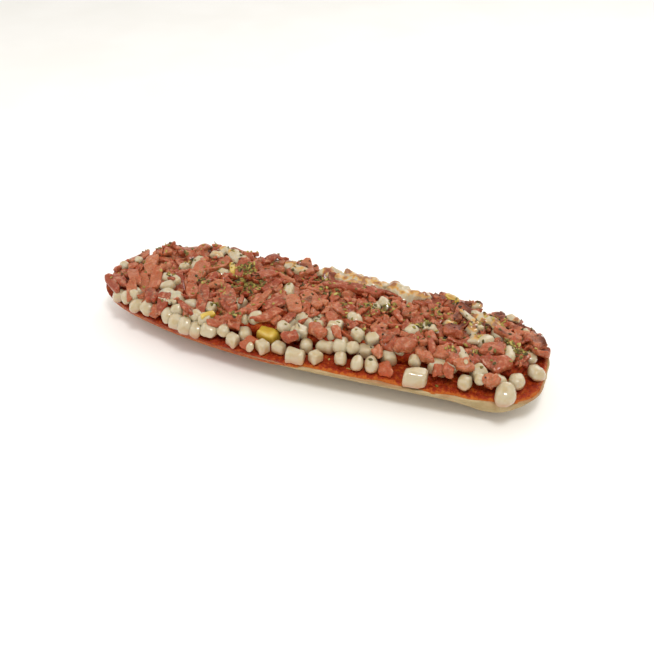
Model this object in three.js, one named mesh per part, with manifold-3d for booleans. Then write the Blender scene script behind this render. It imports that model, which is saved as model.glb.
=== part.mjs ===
// Pizza baguette: half a baguette laid cut face up, spread with tomato sauce and heaped with ham
// strips, ham dice and pieces of cheese. Millimetres, +Z up. X runs along the loaf and +X is the
// end with bare sauce on it; Y runs across it and -Y is the side where single pieces of cheese
// stand on the sauce. The loaf is laid out about its own axis and moved at the end, so that the origin
// is the centre of the bounding box's bottom face.
import * as THREE from "three";
import { mergeVertices } from "three/addons/utils/BufferGeometryUtils.js";
import Module from "manifold-3d";

// Driving dimensions.
const LENGTH = 240;
const WIDTH = 71;
const BREAD_HEIGHT = 16; // the cut face stands this high over the table
const CRUST_DEPTH = 18; // of the round underside, before the flat spot cuts it off
const CRUST_ROUNDNESS = 2.2; // exponent of the underside's curve, where 2 is a plain ellipse
const CRUST_SLOPE = 0.46; // how much further in the crust lies for each millimetre down
const BLUNT_SLOPE = -0.08; // the same at the blunt corner, where the crust bulges out instead
const BLUNT_CORNER = { x: 102, y: -28, spread: 14 };
const NEAR_FRONT_SQUARENESS = 4.4; // exponents of the outline's corners seen from above
const NEAR_BACK_SQUARENESS = 3.1;
const FAR_SQUARENESS = 3.05;
const FAR_END_SLANT = 0.2; // how much the far end is cut on the skew
const FRONT_BULGE = 5.4; // how much further than WIDTH / 2 the front rim reaches at its widest
const FRONT_BULGE_X = -12; // where that is, and how far it spreads to the far and the near side
const FRONT_BULGE_SPREAD = [75, 60];
const FRONT_TO_CENTRE = 2.4; // from the loaf's axis to the middle of its bounding box
const SAUCE_THICKNESS = 1;
const GAP = 0.3; // between two pieces that touch
const HEAP_EDGE_HEIGHT = 6.6; // the heap's height over the sauce at the rim
const HEAP_CROWN = 3.4; // how much more it is along the middle
const PROUD = 2.4; // how far a piece may stand up out of the heap
const SHOWN_AREA = 42; // square millimetres of a piece that must show for it to be modelled
const ATTEMPTS = 9000; // at dropping a piece on the heap
const SEED = 20262;
// Mean length, width and height of each kind of piece in the heap.
const SIZES = {
  strip: [17, 6.4, 3.4],
  dice: [8.8, 7.2, 4.6],
  pellet: [8.2, 7, 6.8],
  cube: [6.8, 6.4, 6],
};
const GRAIN = -52; // degrees: the way that most strips lie
const GRAIN_SPREAD = 50;

const SAUCE_BOTTOM = BREAD_HEIGHT + GAP;
const SAUCE_TOP = SAUCE_BOTTOM + SAUCE_THICKNESS;
const TOPPING_FLOOR = SAUCE_TOP + GAP;

// Materials, from the photograph.
const finish = (color, roughness) => new THREE.MeshStandardMaterial({ color, roughness, metalness: 0 });
const BREAD = finish(0xc9b084, 0.85);
const SAUCE = finish(0x9c2c10, 0.35);
const HAM = finish(0xb5695a, 0.45);
const CHEESE = finish(0xd8ccab, 0.4);
const YELLOW_CHEESE = finish(0xc9a83a, 0.4);

/** A seeded stream of numbers from 0 to 1 (a linear congruential generator). */
function stream(seed) {
  let state = seed >>> 0;
  return () => {
    state = (Math.imul(state, 1664525) + 1013904223) >>> 0;
    return state / 4294967296;
  };
}

const between = (random, low, high) => low + (high - low) * random();
const clamp = (value, low, high) => Math.min(high, Math.max(low, value));

// ---------------------------------------------------------------- the loaf's outline and bread

/** The exponent of the outline's corner in which a point lies. */
function squareness(x, y) {
  if (x < 0) return FAR_SQUARENESS;
  return y < 0 ? NEAR_FRONT_SQUARENESS : NEAR_BACK_SQUARENESS;
}

/** How much the front half of the outline is stretched in Y at a place along the loaf. */
function frontStretch(x) {
  const spread = FRONT_BULGE_SPREAD[x < FRONT_BULGE_X ? 0 : 1];
  return 1 + (FRONT_BULGE / (WIDTH / 2)) * Math.exp(-(((x - FRONT_BULGE_X) / spread) ** 2));
}

/** A point of the outline seen from above, moved in from the rim by inset. */
function rimPoint(angle, inset) {
  const c = Math.cos(angle);
  const s = Math.sin(angle);
  const power = 2 / squareness(c, s);
  const x = Math.sign(c) * Math.abs(c) ** power;
  const y = Math.sign(s) * Math.abs(s) ** power;
  const slant = c > 0 ? 0 : FAR_END_SLANT * x ** 4;
  const across = y * (WIDTH / 2 - inset);
  const along = x * (LENGTH / 2 - inset) + slant * across;
  return [along, y < 0 ? across * frontStretch(along) : across];
}

/** How far out a point lies: 0 at the middle and 1 at a distance of inset in from the rim. */
function rimShare(x, y, inset = 0) {
  const across = y < 0 ? y / frontStretch(x) : y;
  const v = across / (WIDTH / 2 - inset);
  const slant = x > 0 ? 0 : FAR_END_SLANT * (x / (LENGTH / 2)) ** 4;
  const u = (x - slant * across) / (LENGTH / 2 - inset);
  const power = squareness(x, y);
  return (Math.abs(u) ** power + Math.abs(v) ** power) ** (1 / power);
}

/** A closed skin through rings of as many points each, with a flat cap on the first and last ring. */
function skin(rings) {
  const count = rings[0].length;
  const faces = [];
  for (let ring = 0; ring + 1 < rings.length; ring++) {
    for (let i = 0; i < count; i++) {
      const here = ring * count + i;
      const next = ring * count + ((i + 1) % count);
      faces.push(here, next, next + count, here, next + count, here + count);
    }
  }
  const last = (rings.length - 1) * count;
  for (let i = 1; i + 1 < count; i++) faces.push(0, i + 1, i, last, last + i, last + i + 1);
  const geometry = new THREE.BufferGeometry();
  geometry.setAttribute("position", new THREE.Float32BufferAttribute(rings.flat(2), 3));
  geometry.setIndex(faces);
  return geometry;
}

/** The outline at one height, as a ring of points. */
function rimRing(count, inset, height, ripple = () => 0) {
  return Array.from({ length: count }, (_, i) => {
    const angle = (2 * Math.PI * i) / count;
    return [...rimPoint(angle, inset + ripple(angle)), height];
  });
}

/** Height of the crust at a distance in from the rim. */
function crustHeight(inset) {
  const out = 1 - inset / (WIDTH / 2);
  return Math.max(0, BREAD_HEIGHT - CRUST_DEPTH * (1 - out ** CRUST_ROUNDNESS) ** (1 / CRUST_ROUNDNESS));
}

/** How much further in the crust lies for each millimetre down, at an angle of the outline. */
function crustSlope(angle) {
  const [x, y] = rimPoint(angle, 0);
  const away = Math.hypot(x - BLUNT_CORNER.x, y - BLUNT_CORNER.y) / BLUNT_CORNER.spread;
  return CRUST_SLOPE + (BLUNT_SLOPE - CRUST_SLOPE) * Math.exp(-(away ** 2));
}

/** The half baguette: a flat cut face over a round crust with a flat spot that it rests on. */
function breadGeometry() {
  const insets = [17.4, 13, 8.5, 5, 2.4, 0.7, 0];
  const crust = insets.map((inset) => {
    const height = inset > 17 ? 0 : crustHeight(inset);
    return rimRing(64, inset, height, (angle) => crustSlope(angle) * (BREAD_HEIGHT - height));
  });
  return skin([...crust, rimRing(64, 0.6, BREAD_HEIGHT)]);
}

/** The spread of sauce: a thin layer that stops at an uneven line just inside the rim. */
function sauceGeometry() {
  const ripple = (angle) => 0.45 * Math.sin(11 * angle) + 0.35 * Math.sin(23 * angle + 1);
  return skin([
    rimRing(88, 1.5, SAUCE_BOTTOM, ripple),
    rimRing(88, 1.3, SAUCE_BOTTOM + 0.4 * SAUCE_THICKNESS, ripple),
    rimRing(88, 2.2, SAUCE_TOP, ripple),
  ]);
}

// ---------------------------------------------------------------- how toppings come to rest

const HALF_GRID_X = 130;
const HALF_GRID_Y = 44;
const ROW = 2 * HALF_GRID_Y + 1;
const ground = new Float64Array((2 * HALF_GRID_X + 1) * ROW).fill(TOPPING_FLOOR);
const owner = new Int32Array(ground.length).fill(-1);
const STATIONS = [-0.5, -0.25, 0, 0.25, 0.5]; // along a piece, as shares of its length

const cellOf = (x, y) =>
  (clamp(Math.round(x), -HALF_GRID_X, HALF_GRID_X) + HALF_GRID_X) * ROW +
  clamp(Math.round(y), -HALF_GRID_Y, HALF_GRID_Y) +
  HALF_GRID_Y;

/** The height that the heap is filled to. */
function crownHeight(x, y) {
  return TOPPING_FLOOR + HEAP_EDGE_HEIGHT + HEAP_CROWN * (1 - rimShare(x, y) ** 2);
}

/** The highest ground within reach of a point. */
function support(x, y, reach) {
  let highest = 0;
  const steps = Math.floor(reach);
  for (let i = -steps; i <= steps; i++)
    for (let j = -steps; j <= steps; j++)
      if (i * i + j * j <= reach * reach) highest = Math.max(highest, ground[cellOf(x + i, y + j)]);
  return highest;
}

/** A piece of topping: where it lies, its size, and the height of its underside along its length. */
class Piece {
  constructor(kind, x, y, heading, length, width, height) {
    Object.assign(this, { kind, x, y, heading, length, width, height });
    this.angle = (heading * Math.PI) / 180;
    this.soft = kind === "strip";
    this.beds = [];
    this.roll = 0;
    this.area = 0;
  }

  /** The point of the plan at s along the piece and t across it. */
  at(s, t) {
    const c = Math.cos(this.angle);
    const d = Math.sin(this.angle);
    return [this.x + s * c - t * d, this.y + s * d + t * c];
  }

  /** Height of the underside at s along the piece. */
  bed(s) {
    const place = clamp((s / this.length + 0.5) * 4, 0, 3.999);
    const i = Math.floor(place);
    return this.beds[i] + (this.beds[i + 1] - this.beds[i]) * (place - i);
  }

  /** Comes to rest on what is there: a strip sags over it, and anything else tilts and nestles in. */
  settle() {
    const reach = Math.max(1, 0.3 * this.width);
    const under = STATIONS.map((share) => support(...this.at(share * 0.8 * this.length, 0), reach));
    const left = support(...this.at(0, 0.3 * this.width), 1);
    const right = support(...this.at(0, -0.3 * this.width), 1);
    this.roll = clamp((left - right) / (1.2 * this.width), -0.3, 0.3);
    if (this.soft) {
      const eased = under.map((h, i) => (under[Math.max(0, i - 1)] + 2 * h + under[Math.min(4, i + 1)]) / 4);
      this.beds = eased.map((h, i) => Math.max(TOPPING_FLOOR, h + 0.3 * Math.max(0, under[i] - h) - 0.6));
    } else {
      const slope = clamp((under[4] - under[0]) / (1.2 * this.length), -0.35, 0.35);
      const rests = under.map((h, i) => h - slope * STATIONS[i] * 0.8 * this.length);
      const mean = rests.reduce((sum, h) => sum + h, 0) / rests.length;
      const middle = Math.max(TOPPING_FLOOR, mean + 0.3 * (Math.max(...rests) - mean) - 0.4);
      this.beds = STATIONS.map((share) => middle + slope * share * this.length);
    }
    const proud = Math.max(...this.beds) + this.height - crownHeight(this.x, this.y) - PROUD;
    if (proud > 0) this.beds = this.beds.map((height) => Math.max(TOPPING_FLOOR, height - proud));
    return this;
  }

  /** Height of the top surface at s along the piece and t across it. */
  top(s, t) {
    const round = this.kind === "pellet" ? Math.sqrt(Math.max(0, 1 - (2 * t / this.width) ** 2)) : 1;
    return this.bed(s) + this.roll * t + (this.height / 2) * (1 + round);
  }

  /** Lifts the ground to the piece's top, and marks the cells as its own. */
  raise() {
    const reach = Math.ceil(Math.hypot(this.length, this.width) / 2);
    for (let i = -reach; i <= reach; i++) {
      for (let j = -reach; j <= reach; j++) {
        const s = i * Math.cos(this.angle) + j * Math.sin(this.angle);
        const t = j * Math.cos(this.angle) - i * Math.sin(this.angle);
        if (Math.abs(s) > this.length / 2 || Math.abs(t) > this.width / 2) continue;
        const cell = cellOf(this.x + i, this.y + j);
        const height = this.top(s, t);
        if (height <= ground[cell]) continue;
        if (owner[cell] >= 0) laid[owner[cell]].area -= 1;
        ground[cell] = height;
        owner[cell] = laid.indexOf(this);
        this.area += 1;
      }
    }
  }
}

const laid = [];

/** Adds a piece to the heap, on top of what is there. */
function lay(...row) {
  const piece = new Piece(...row).settle();
  laid.push(piece);
  piece.raise();
}

// ---------------------------------------------------------------- where the toppings lie

// Single pieces on the bare sauce, placed by eye from the photograph:
// kind, x, y, heading in degrees, length, width, height.
const SINGLES = [
  ["pellet", 109.6, 1.2, 0, 7.6, 6.4, 6.4],
  ["pellet", 114.4, -8.2, -30, 8.8, 7.2, 7],
  ["pellet", 107.2, -17.6, -70, 8.6, 7.6, 7],
  ["pellet", 99.2, -20.4, -10, 8, 6.4, 6.4],
  ["pellet", 104, -28.8, -80, 10.8, 9.4, 9],
  ["pellet", 84.6, -27.2, 84, 8, 7, 6.8],
  ["cube", 70.4, -21.4, -2, 9.6, 7.6, 7.4],
  ["cube", 62, -32.6, 16, 11.4, 7.8, 7.8],
  ["dice", 46, -30.6, -50, 7.4, 6.4, 4.8],
  ["cube", 45.8, -23.2, 30, 7, 6.4, 6.2],
  ["pellet", 39.4, -30.4, -58, 9, 6.4, 6.4],
  ["pellet", 32.8, -31.8, -82, 8, 6.2, 6.2],
  ["cube", 33.8, -22.4, 4, 8.8, 6.6, 6.4],
  ["pellet", 24.2, -31.6, -76, 7.2, 6.2, 6.4],
  ["pellet", 14.2, -26.2, 4, 9.8, 6.6, 6.6],
  ["cube", 12.4, -34.8, 46, 6, 5.8, 6],
  ["pellet", 5.2, -28.8, -80, 7.6, 6.4, 6.8],
  ["cube", 2.6, -37.2, 6, 9.6, 6.6, 5.8],
  ["cube", -7, -34.6, -10, 6.6, 6, 6],
  ["cube", -15.2, -36.8, -30, 6.8, 6.2, 6.2],
  ["yellow", -16, -27.8, -6, 11.6, 7.6, 6.4],
  ["pellet", -27.4, -31.2, -62, 8.6, 6.6, 6.6],
  ["cube", -31.4, -37, -24, 7.2, 6, 6],
  ["dice", -22.6, -36.4, 60, 7, 5.4, 4.8],
];

// The front row at the far end, where the heap reaches the rim.
const FRONT_ROW = [
  ["pellet", -104.6, -25.2, 30, 7.6, 6.6, 6.4],
  ["pellet", -98.4, -27.2, -40, 7.2, 6, 6],
  ["pellet", -90.6, -29.2, 40, 9.6, 7, 6.6],
  ["pellet", -83.4, -31, -15, 7.8, 6.8, 6.4],
  ["dice", -76.6, -31.4, 60, 8.8, 6.8, 4.8],
  ["pellet", -70, -33.4, -50, 8, 6.4, 6.4],
  ["pellet", -63.8, -35.4, 10, 8.4, 6.8, 6.6],
  ["pellet", -58.4, -36.6, -64, 8.6, 7, 6.6],
  ["pellet", -52.4, -36.2, -70, 8.8, 6.6, 6.4],
  ["pellet", -44.6, -36.6, 10, 9, 6.8, 6.6],
  ["pellet", -37.4, -34.4, -60, 8.4, 6.4, 6.4],
];

// Pieces that show on top of the heap, placed the same way and laid last.
const TOP_PIECES = [
  ["strip", 13, 15.4, 4, 33, 6.4, 4],
  ["strip", -44, -15, -48, 17, 7.4, 3.4],
  ["strip", -58, -17, -66, 19, 5.4, 3.6],
  ["strip", -64.5, -16, -58, 13, 6.8, 4],
  ["strip", -27.5, -13, 70, 19, 4.2, 3],
  ["strip", -20, -12, 40, 12, 9, 3],
  ["strip", -9.6, -9.6, -56, 15, 7.4, 3.4],
  ["strip", 16, -17.6, -52, 20, 5, 3.6],
  ["strip", -36, 9, 34, 16, 7, 3.4],
  ["strip", -69, -1, -84, 20, 7, 3.6],
  ["strip", -98, -2, -68, 17, 6.2, 3.6],
  ["strip", -85.5, -24, -50, 15, 6, 3.6],
  ["strip", -109.5, -22.6, -32, 14, 4.6, 3],
  ["strip", -79.5, 24, 70, 13, 4.4, 3],
  ["strip", -103, 23.6, 50, 13, 5.4, 3.4],
  ["strip", -39, 28, 76, 14, 4.4, 2.8],
  ["strip", -17.4, 26, -66, 15, 8, 3.8],
  ["strip", 97, 8, -14, 14, 6.4, 4],
  ["strip", 20.6, 26.6, -60, 11, 7, 3.6],
  ["strip", 27.4, 27, -56, 16, 4, 2.8],
  ["dice", 93, -5.6, 20, 12, 9.4, 5],
  ["dice", 92.6, -14.6, -10, 9.6, 7.4, 5],
  ["dice", 81.8, -21.6, 30, 9, 7, 4.6],
  ["dice", 96.6, -26.6, 40, 7.4, 6, 4.6],
  ["dice", 71, 1, 10, 10, 8, 4.6],
  ["dice", 109.4, 10.6, -30, 11, 7.4, 4.6],
  ["pellet", -75.6, 12, 60, 8.6, 7.4, 7],
  ["pellet", -17.6, 2.6, -74, 11, 6, 6],
  ["pellet", -78, -21.6, 76, 8.6, 6.8, 6.6],
  ["pellet", -71.6, -22.4, 30, 8.6, 7.4, 7],
  ["pellet", 22, -7, 10, 7.4, 5.6, 5.4],
  ["pellet", 52, -7, 70, 8, 6.4, 6],
  ["pellet", 87.6, 0.6, 60, 9.6, 7, 6.4],
  ["pellet", 100.6, -5, -76, 10.4, 5.6, 5.6],
  ["strand", 78, 11.4, -40, 18, 3.4, 3],
  ["strand", 80.4, -15.6, -58, 16, 4.6, 4],
  ["yellow", -54.4, 10.4, -62, 13, 3.2, 2.8],
  ["yellow", 63.4, 28.4, -24, 9, 4.6, 5],
];

/** How far in from the rim the heap stops: it leaves bare sauce on the -Y side and at +X. */
function heapInset(x, y) {
  if (y > 0) return x > 100 ? 4 : 2.6;
  return clamp(4 + 0.16 * (x + 62), 4, 12.5);
}

/** The share of ham among the toppings at a place, where the rest is cheese. */
function hamShare(x, y) {
  if (x < -86) return y < -20 ? 0.35 : 0.84;
  if (y < -17) return 0.2;
  if (y > 21 && x > -14 && x < 50) return 0.2;
  return 0.74;
}

/** The kind of a piece at a place: strips of ham towards the far end and dice towards the near one. */
function drawKind(random, x, y) {
  const sort = random();
  if (random() > hamShare(x, y)) return sort < 0.62 ? "pellet" : "cube";
  return sort < (x < 8 ? 0.72 : 0.36) ? "strip" : "dice";
}

/** Fills the heap: drops pieces where one more still fits under its crown. */
function fillHeap() {
  const random = stream(SEED);
  for (let attempt = 0; attempt < ATTEMPTS; attempt++) {
    const x = between(random, -LENGTH / 2, LENGTH / 2);
    const y = between(random, -WIDTH / 2 - FRONT_BULGE, WIDTH / 2);
    const share = rimShare(x, y, heapInset(x, y));
    const turn = between(random, -GRAIN_SPREAD, GRAIN_SPREAD) + between(random, -GRAIN_SPREAD, GRAIN_SPREAD);
    const kind = drawKind(random, x, y);
    const scale = between(random, 0.86, 1.14);
    const row = [kind, x, y, GRAIN + turn, ...SIZES[kind].map((size) => size * scale)];
    const piece = new Piece(...row);
    const ends = [-0.5, 0.5].map((end) => rimShare(...piece.at(end * piece.length, 0)));
    if (share > 1 || Math.max(...ends) > 0.98) continue;
    if (support(x, y, 2) + 0.8 * piece.height < crownHeight(x, y)) lay(...row);
  }
}

const singles = SINGLES.map((row) => new Piece(...row).settle());
laid.push(...singles);
singles.forEach((piece) => piece.raise());
FRONT_ROW.forEach((row) => lay(...row));
fillHeap();
TOP_PIECES.forEach((row) => lay(...row));

// ---------------------------------------------------------------- the shapes of the pieces

/** A rounded stub of cheese, lying along X: a barrel with six sides. */
function pelletGeometry(length, width, height, rings) {
  const barrel = new THREE.CylinderGeometry(0.5, 0.5, 1, 6, rings).rotateZ(Math.PI / 2);
  const place = barrel.attributes.position;
  for (let i = 0; i < place.count; i++) {
    const isEnd = Math.abs(place.getX(i)) > 0.4;
    const girth = isEnd ? 0.66 : 1.08;
    const reach = isEnd ? 1 : 1.8;
    place.setXYZ(
      i,
      place.getX(i) * reach * length,
      place.getY(i) * girth * width,
      place.getZ(i) * girth * height,
    );
  }
  return barrel;
}

/** A block whose corners are knocked about a little, as cut ham and cheese are. */
function blockGeometry(length, width, height, steps, knock, random) {
  const block = new THREE.BoxGeometry(length, width, height, steps, 1, 1);
  const merged = bare(block);
  const place = merged.attributes.position;
  for (let i = 0; i < place.count; i++) {
    place.setXYZ(
      i,
      place.getX(i) + between(random, -knock, knock),
      place.getY(i) * (1 + between(random, -knock, knock) / 4),
      place.getZ(i) * (1 + between(random, -knock, knock) / 4),
    );
  }
  return merged;
}

/** The geometry with only its positions left, and one vertex where several lay. */
function bare(geometry) {
  const copy = geometry.clone();
  copy.deleteAttribute("normal");
  copy.deleteAttribute("uv");
  return mergeVertices(copy, 1e-4);
}

/** A strip's block, bent to lie along its beds. */
function bendOnto(geometry, piece) {
  const place = geometry.attributes.position;
  for (let i = 0; i < place.count; i++) {
    const s = place.getX(i);
    const t = place.getY(i);
    const height = piece.bed(s) + piece.roll * t + place.getZ(i) + piece.height / 2;
    place.setXYZ(i, ...piece.at(s, t), height);
  }
  return geometry;
}

/** A stiff piece's shape, tilted and set down where it settled. */
function standOn(geometry, piece) {
  const slope = (piece.beds[4] - piece.beds[0]) / piece.length;
  const along = new THREE.Vector3(Math.cos(piece.angle), Math.sin(piece.angle), slope).normalize();
  const across = new THREE.Vector3(-Math.sin(piece.angle), Math.cos(piece.angle), piece.roll);
  const up = new THREE.Vector3().crossVectors(along, across).normalize();
  across.crossVectors(up, along);
  const pose = new THREE.Matrix4().makeBasis(along, across, up);
  pose.setPosition(piece.x, piece.y, piece.bed(0) + piece.height / 2);
  return geometry.applyMatrix4(pose);
}

/** The piece's own shape where it lies, swollen by extra on every side. */
function pieceGeometry(piece, extra = 0) {
  const random = stream(SEED + laid.indexOf(piece));
  const [length, width, height] = [piece.length, piece.width, piece.height].map((size) => size + 2 * extra);
  const rings = singles.includes(piece) ? 3 : 2;
  if (piece.kind === "pellet") return standOn(bare(pelletGeometry(length, width, height, rings)), piece);
  if (piece.kind === "strip") return bendOnto(blockGeometry(length, width, height, 2, 0.5, random), piece);
  return standOn(blockGeometry(length, width, height, 1, 0.4, random), piece);
}

// ---------------------------------------------------------------- joining and cutting

const wasm = await Module();
wasm.setup();

function solidOf(geometry) {
  const merged = bare(geometry);
  return new wasm.Manifold(
    new wasm.Mesh({
      numProp: 3,
      vertProperties: new Float32Array(merged.attributes.position.array),
      triVerts: new Uint32Array(merged.index.array),
    }),
  );
}

function geometryOf(solid) {
  const mesh = solid.getMesh();
  const geometry = new THREE.BufferGeometry();
  geometry.setAttribute("position", new THREE.BufferAttribute(mesh.vertProperties, 3));
  geometry.setIndex(new THREE.BufferAttribute(mesh.triVerts, 1));
  return geometry;
}

/** The heap's core: a low mound that follows the ground under the pieces that show. */
function coreGeometry() {
  const block = bare(new THREE.BoxGeometry(2, 2, 2, 24, 6, 1));
  const place = block.attributes.position;
  for (let i = 0; i < place.count; i++) {
    const u = place.getX(i);
    const v = place.getY(i);
    const x = u * 112 - 3;
    const half = (WIDTH / 2) * (v < 0 ? frontStretch(x) : 1) - heapInset(x, v) - 3;
    const y = v * half * (1 - Math.abs(u) ** 5) ** (1 / 3.2);
    const mound = Math.max(TOPPING_FLOOR + 1, lowGround(x, y) - 2.8);
    place.setXYZ(i, x, y, place.getZ(i) > 0 ? mound : TOPPING_FLOOR);
  }
  return block;
}

/** The mean of the ground around a point. */
function lowGround(x, y) {
  let sum = 0;
  for (let i = -3; i <= 3; i++) for (let j = -3; j <= 3; j++) sum += ground[cellOf(x + i, y + j)];
  return sum / 49;
}

/** Cuts a solid off where it would reach into the sauce. */
function standOnSauce(solid) {
  const under = new THREE.BoxGeometry(2 * LENGTH, 2 * WIDTH, 20).translate(0, 0, TOPPING_FLOOR - 10);
  return solid.subtract(solidOf(under));
}

/** A single piece as a solid, squashed where it meets the singles before it. */
function singleGeometry(piece) {
  let solid = standOnSauce(solidOf(pieceGeometry(piece)));
  for (const other of singles.slice(0, singles.indexOf(piece)))
    solid = solid.subtract(solidOf(pieceGeometry(other, GAP)));
  return geometryOf(solid);
}

/** The heap as one solid: the core with every piece that shows, clear of the single pieces. */
function heapGeometry() {
  const shown = laid.filter((piece) => !singles.includes(piece) && piece.area > SHOWN_AREA);
  let heap = solidOf(coreGeometry());
  for (const piece of shown) heap = heap.add(solidOf(pieceGeometry(piece)));
  for (const single of singles) heap = heap.subtract(solidOf(pieceGeometry(single, GAP)));
  const bodies = standOnSauce(heap).decompose().sort((a, b) => b.volume() - a.volume());
  return geometryOf(bodies[0]);
}

// ---------------------------------------------------------------- the whole

const pizza = new THREE.Group();
pizza.position.y = FRONT_TO_CENTRE;

function addPart(name, geometry, material) {
  const mesh = new THREE.Mesh(geometry, material);
  mesh.name = name;
  pizza.add(mesh);
}

addPart("bread_half", breadGeometry(), BREAD);
addPart("tomato_sauce", sauceGeometry(), SAUCE);
addPart("ham_and_cheese_heap", heapGeometry(), HAM);
const SINGLE_NAMES = { dice: "ham_chunk", yellow: "yellow_cheese_chunk" };
const SINGLE_FINISHES = { dice: HAM, yellow: YELLOW_CHEESE };
singles.forEach((piece, i) => {
  const number = String(i + 1).padStart(2, "0");
  const name = `${SINGLE_NAMES[piece.kind] ?? "cheese_chunk"}_${number}`;
  addPart(name, singleGeometry(piece), SINGLE_FINISHES[piece.kind] ?? CHEESE);
});

export default pizza;
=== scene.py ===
"""Pizza baguette: half a baguette, cut face up, with tomato sauce, ham, cheese and dried herbs.

The loaf lies along X with its bare end at +X, and the side where single pieces of cheese stand
on the sauce is -Y. Every size in this file is in millimetres about the loaf's own axis, and both
the move to the frame's axis and the change to metres happen when a mesh is made. The toppings
come to rest by a small rule of their own: each piece settles on a height map of what lies there
already and then raises it.
"""

from __future__ import annotations

import logging
import math
from dataclasses import dataclass, field
from enum import Enum
from functools import lru_cache
from typing import Callable, Iterable, Sequence

import bpy
import numpy as np
from mathutils import Matrix, Vector
from mathutils.bvhtree import BVHTree


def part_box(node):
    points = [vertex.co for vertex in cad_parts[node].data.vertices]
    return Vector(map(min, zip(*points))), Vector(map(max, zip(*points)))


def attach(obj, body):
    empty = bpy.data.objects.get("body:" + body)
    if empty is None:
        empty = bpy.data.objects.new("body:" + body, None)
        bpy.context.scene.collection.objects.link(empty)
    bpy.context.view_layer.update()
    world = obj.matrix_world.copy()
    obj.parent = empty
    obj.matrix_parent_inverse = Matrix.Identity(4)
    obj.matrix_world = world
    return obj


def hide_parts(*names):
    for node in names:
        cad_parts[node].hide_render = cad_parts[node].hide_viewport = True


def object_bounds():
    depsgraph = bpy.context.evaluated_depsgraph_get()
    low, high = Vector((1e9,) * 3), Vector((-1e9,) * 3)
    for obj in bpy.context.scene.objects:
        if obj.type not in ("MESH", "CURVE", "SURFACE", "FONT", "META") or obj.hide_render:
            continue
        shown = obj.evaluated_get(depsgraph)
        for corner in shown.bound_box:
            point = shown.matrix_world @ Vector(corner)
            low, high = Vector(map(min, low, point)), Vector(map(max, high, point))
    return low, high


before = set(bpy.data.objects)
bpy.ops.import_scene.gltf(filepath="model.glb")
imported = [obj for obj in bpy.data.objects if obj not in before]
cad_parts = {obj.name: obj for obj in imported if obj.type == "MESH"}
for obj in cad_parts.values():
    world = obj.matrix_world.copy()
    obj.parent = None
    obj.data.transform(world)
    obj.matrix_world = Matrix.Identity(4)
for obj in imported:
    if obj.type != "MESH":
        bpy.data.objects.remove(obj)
CAD_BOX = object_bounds()

LOG = logging.getLogger("pizza_baguette")
MM = 0.001
BODY = "root"

BREAD_NODE = "bread_half"
SAUCE_NODE = "tomato_sauce"
HEAP_NODE = "ham_and_cheese_heap"


def in_mm(node: str) -> tuple[np.ndarray, np.ndarray]:
    """Gives the box of a node of the frame in millimetres.

    Args:
        node: The node's name.

    Returns:
        Its lowest and its highest corner, to a hundredth of a millimetre.
    """
    low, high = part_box(node)
    return np.round(np.array(low) / MM, 2), np.round(np.array(high) / MM, 2)


BREAD_HIGH = in_mm(BREAD_NODE)[1]
HALF_LENGTH = float(BREAD_HIGH[0])
BREAD_HEIGHT = float(BREAD_HIGH[2])
SAUCE_TOP = float(in_mm(SAUCE_NODE)[1][2])
TOPPING_FLOOR = float(in_mm(HEAP_NODE)[0][2])
HALF_WIDTH = 35.5
LOAF_AXIS = np.array([0, float(BREAD_HIGH[1]) - HALF_WIDTH, 0])

# The room that toppings keep to, a little less than the frame's box.
LOWEST = np.array(CAD_BOX[0]) / MM - LOAF_AXIS + [0.3, 0.3, SAUCE_TOP - 0.2]
HIGHEST = np.array(CAD_BOX[1]) / MM - LOAF_AXIS - [0.3, 0.3, 0.5]

Random = Callable[[], float]


# ---------------------------------------------------------------------------- numbers and noise


def stream(seed: int) -> Random:
    """Makes a seeded stream of numbers.

    Args:
        seed: Where the stream starts.

    Returns:
        A function that gives the next number from 0 to 1.
    """
    state = [seed & 0xFFFFFFFF]

    def following() -> float:
        """Gives the next number."""
        state[0] = (state[0] * 1664525 + 1013904223) & 0xFFFFFFFF
        return state[0] / 4294967296

    return following


def between(random: Random, low: float, high: float) -> float:
    """Draws a number between two others."""
    return low + (high - low) * random()


def clamp(value: float, low: float, high: float) -> float:
    """Keeps a number between two others."""
    return min(high, max(low, value))


def smoothstep(low: float, high: float, values: np.ndarray) -> np.ndarray:
    """Rises smoothly from 0 at low to 1 at high."""
    t = np.clip((values - low) / (high - low), 0, 1)
    return t * t * (3 - 2 * t)


def value_noise(points: np.ndarray, grain: float, seed: int = 0) -> np.ndarray:
    """Gives smooth random values in space.

    Args:
        points: The places, one row of x, y, z each.
        grain: The distance between independent values.
        seed: Picks one of many patterns.

    Returns:
        A value from -1 to 1 for each place.
    """
    cell = points / grain
    corner = np.floor(cell).astype(np.int64)
    share = cell - corner
    share = share * share * (3 - 2 * share)
    total = np.zeros(len(points))
    for step in np.ndindex(2, 2, 2):
        lattice_point = corner + np.array(step)
        code = (
            lattice_point[:, 0] * 73856093
            ^ lattice_point[:, 1] * 19349663
            ^ lattice_point[:, 2] * 83492791
            ^ (seed * 7919 + 12289)
        ) & 0xFFFFFFFF
        code = ((code ^ (code >> 15)) * 2246822519) & 0xFFFFFFFF
        code = ((code ^ (code >> 13)) * 3266489917) & 0xFFFFFFFF
        weight = np.prod(np.where(np.array(step) == 1, share, 1 - share), axis=1)
        total += weight * ((code >> 8 & 0xFFFF) / 32767.5 - 1)
    return total


def layered_noise(points: np.ndarray, grain: float, layers: int, seed: int = 0) -> np.ndarray:
    """Sums ever finer layers of noise, each half as strong as the one before."""
    return sum(value_noise(points, grain / 2**k, seed + k) / 2**k for k in range(layers))


# ---------------------------------------------------------------------------- the loaf's outline


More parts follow.
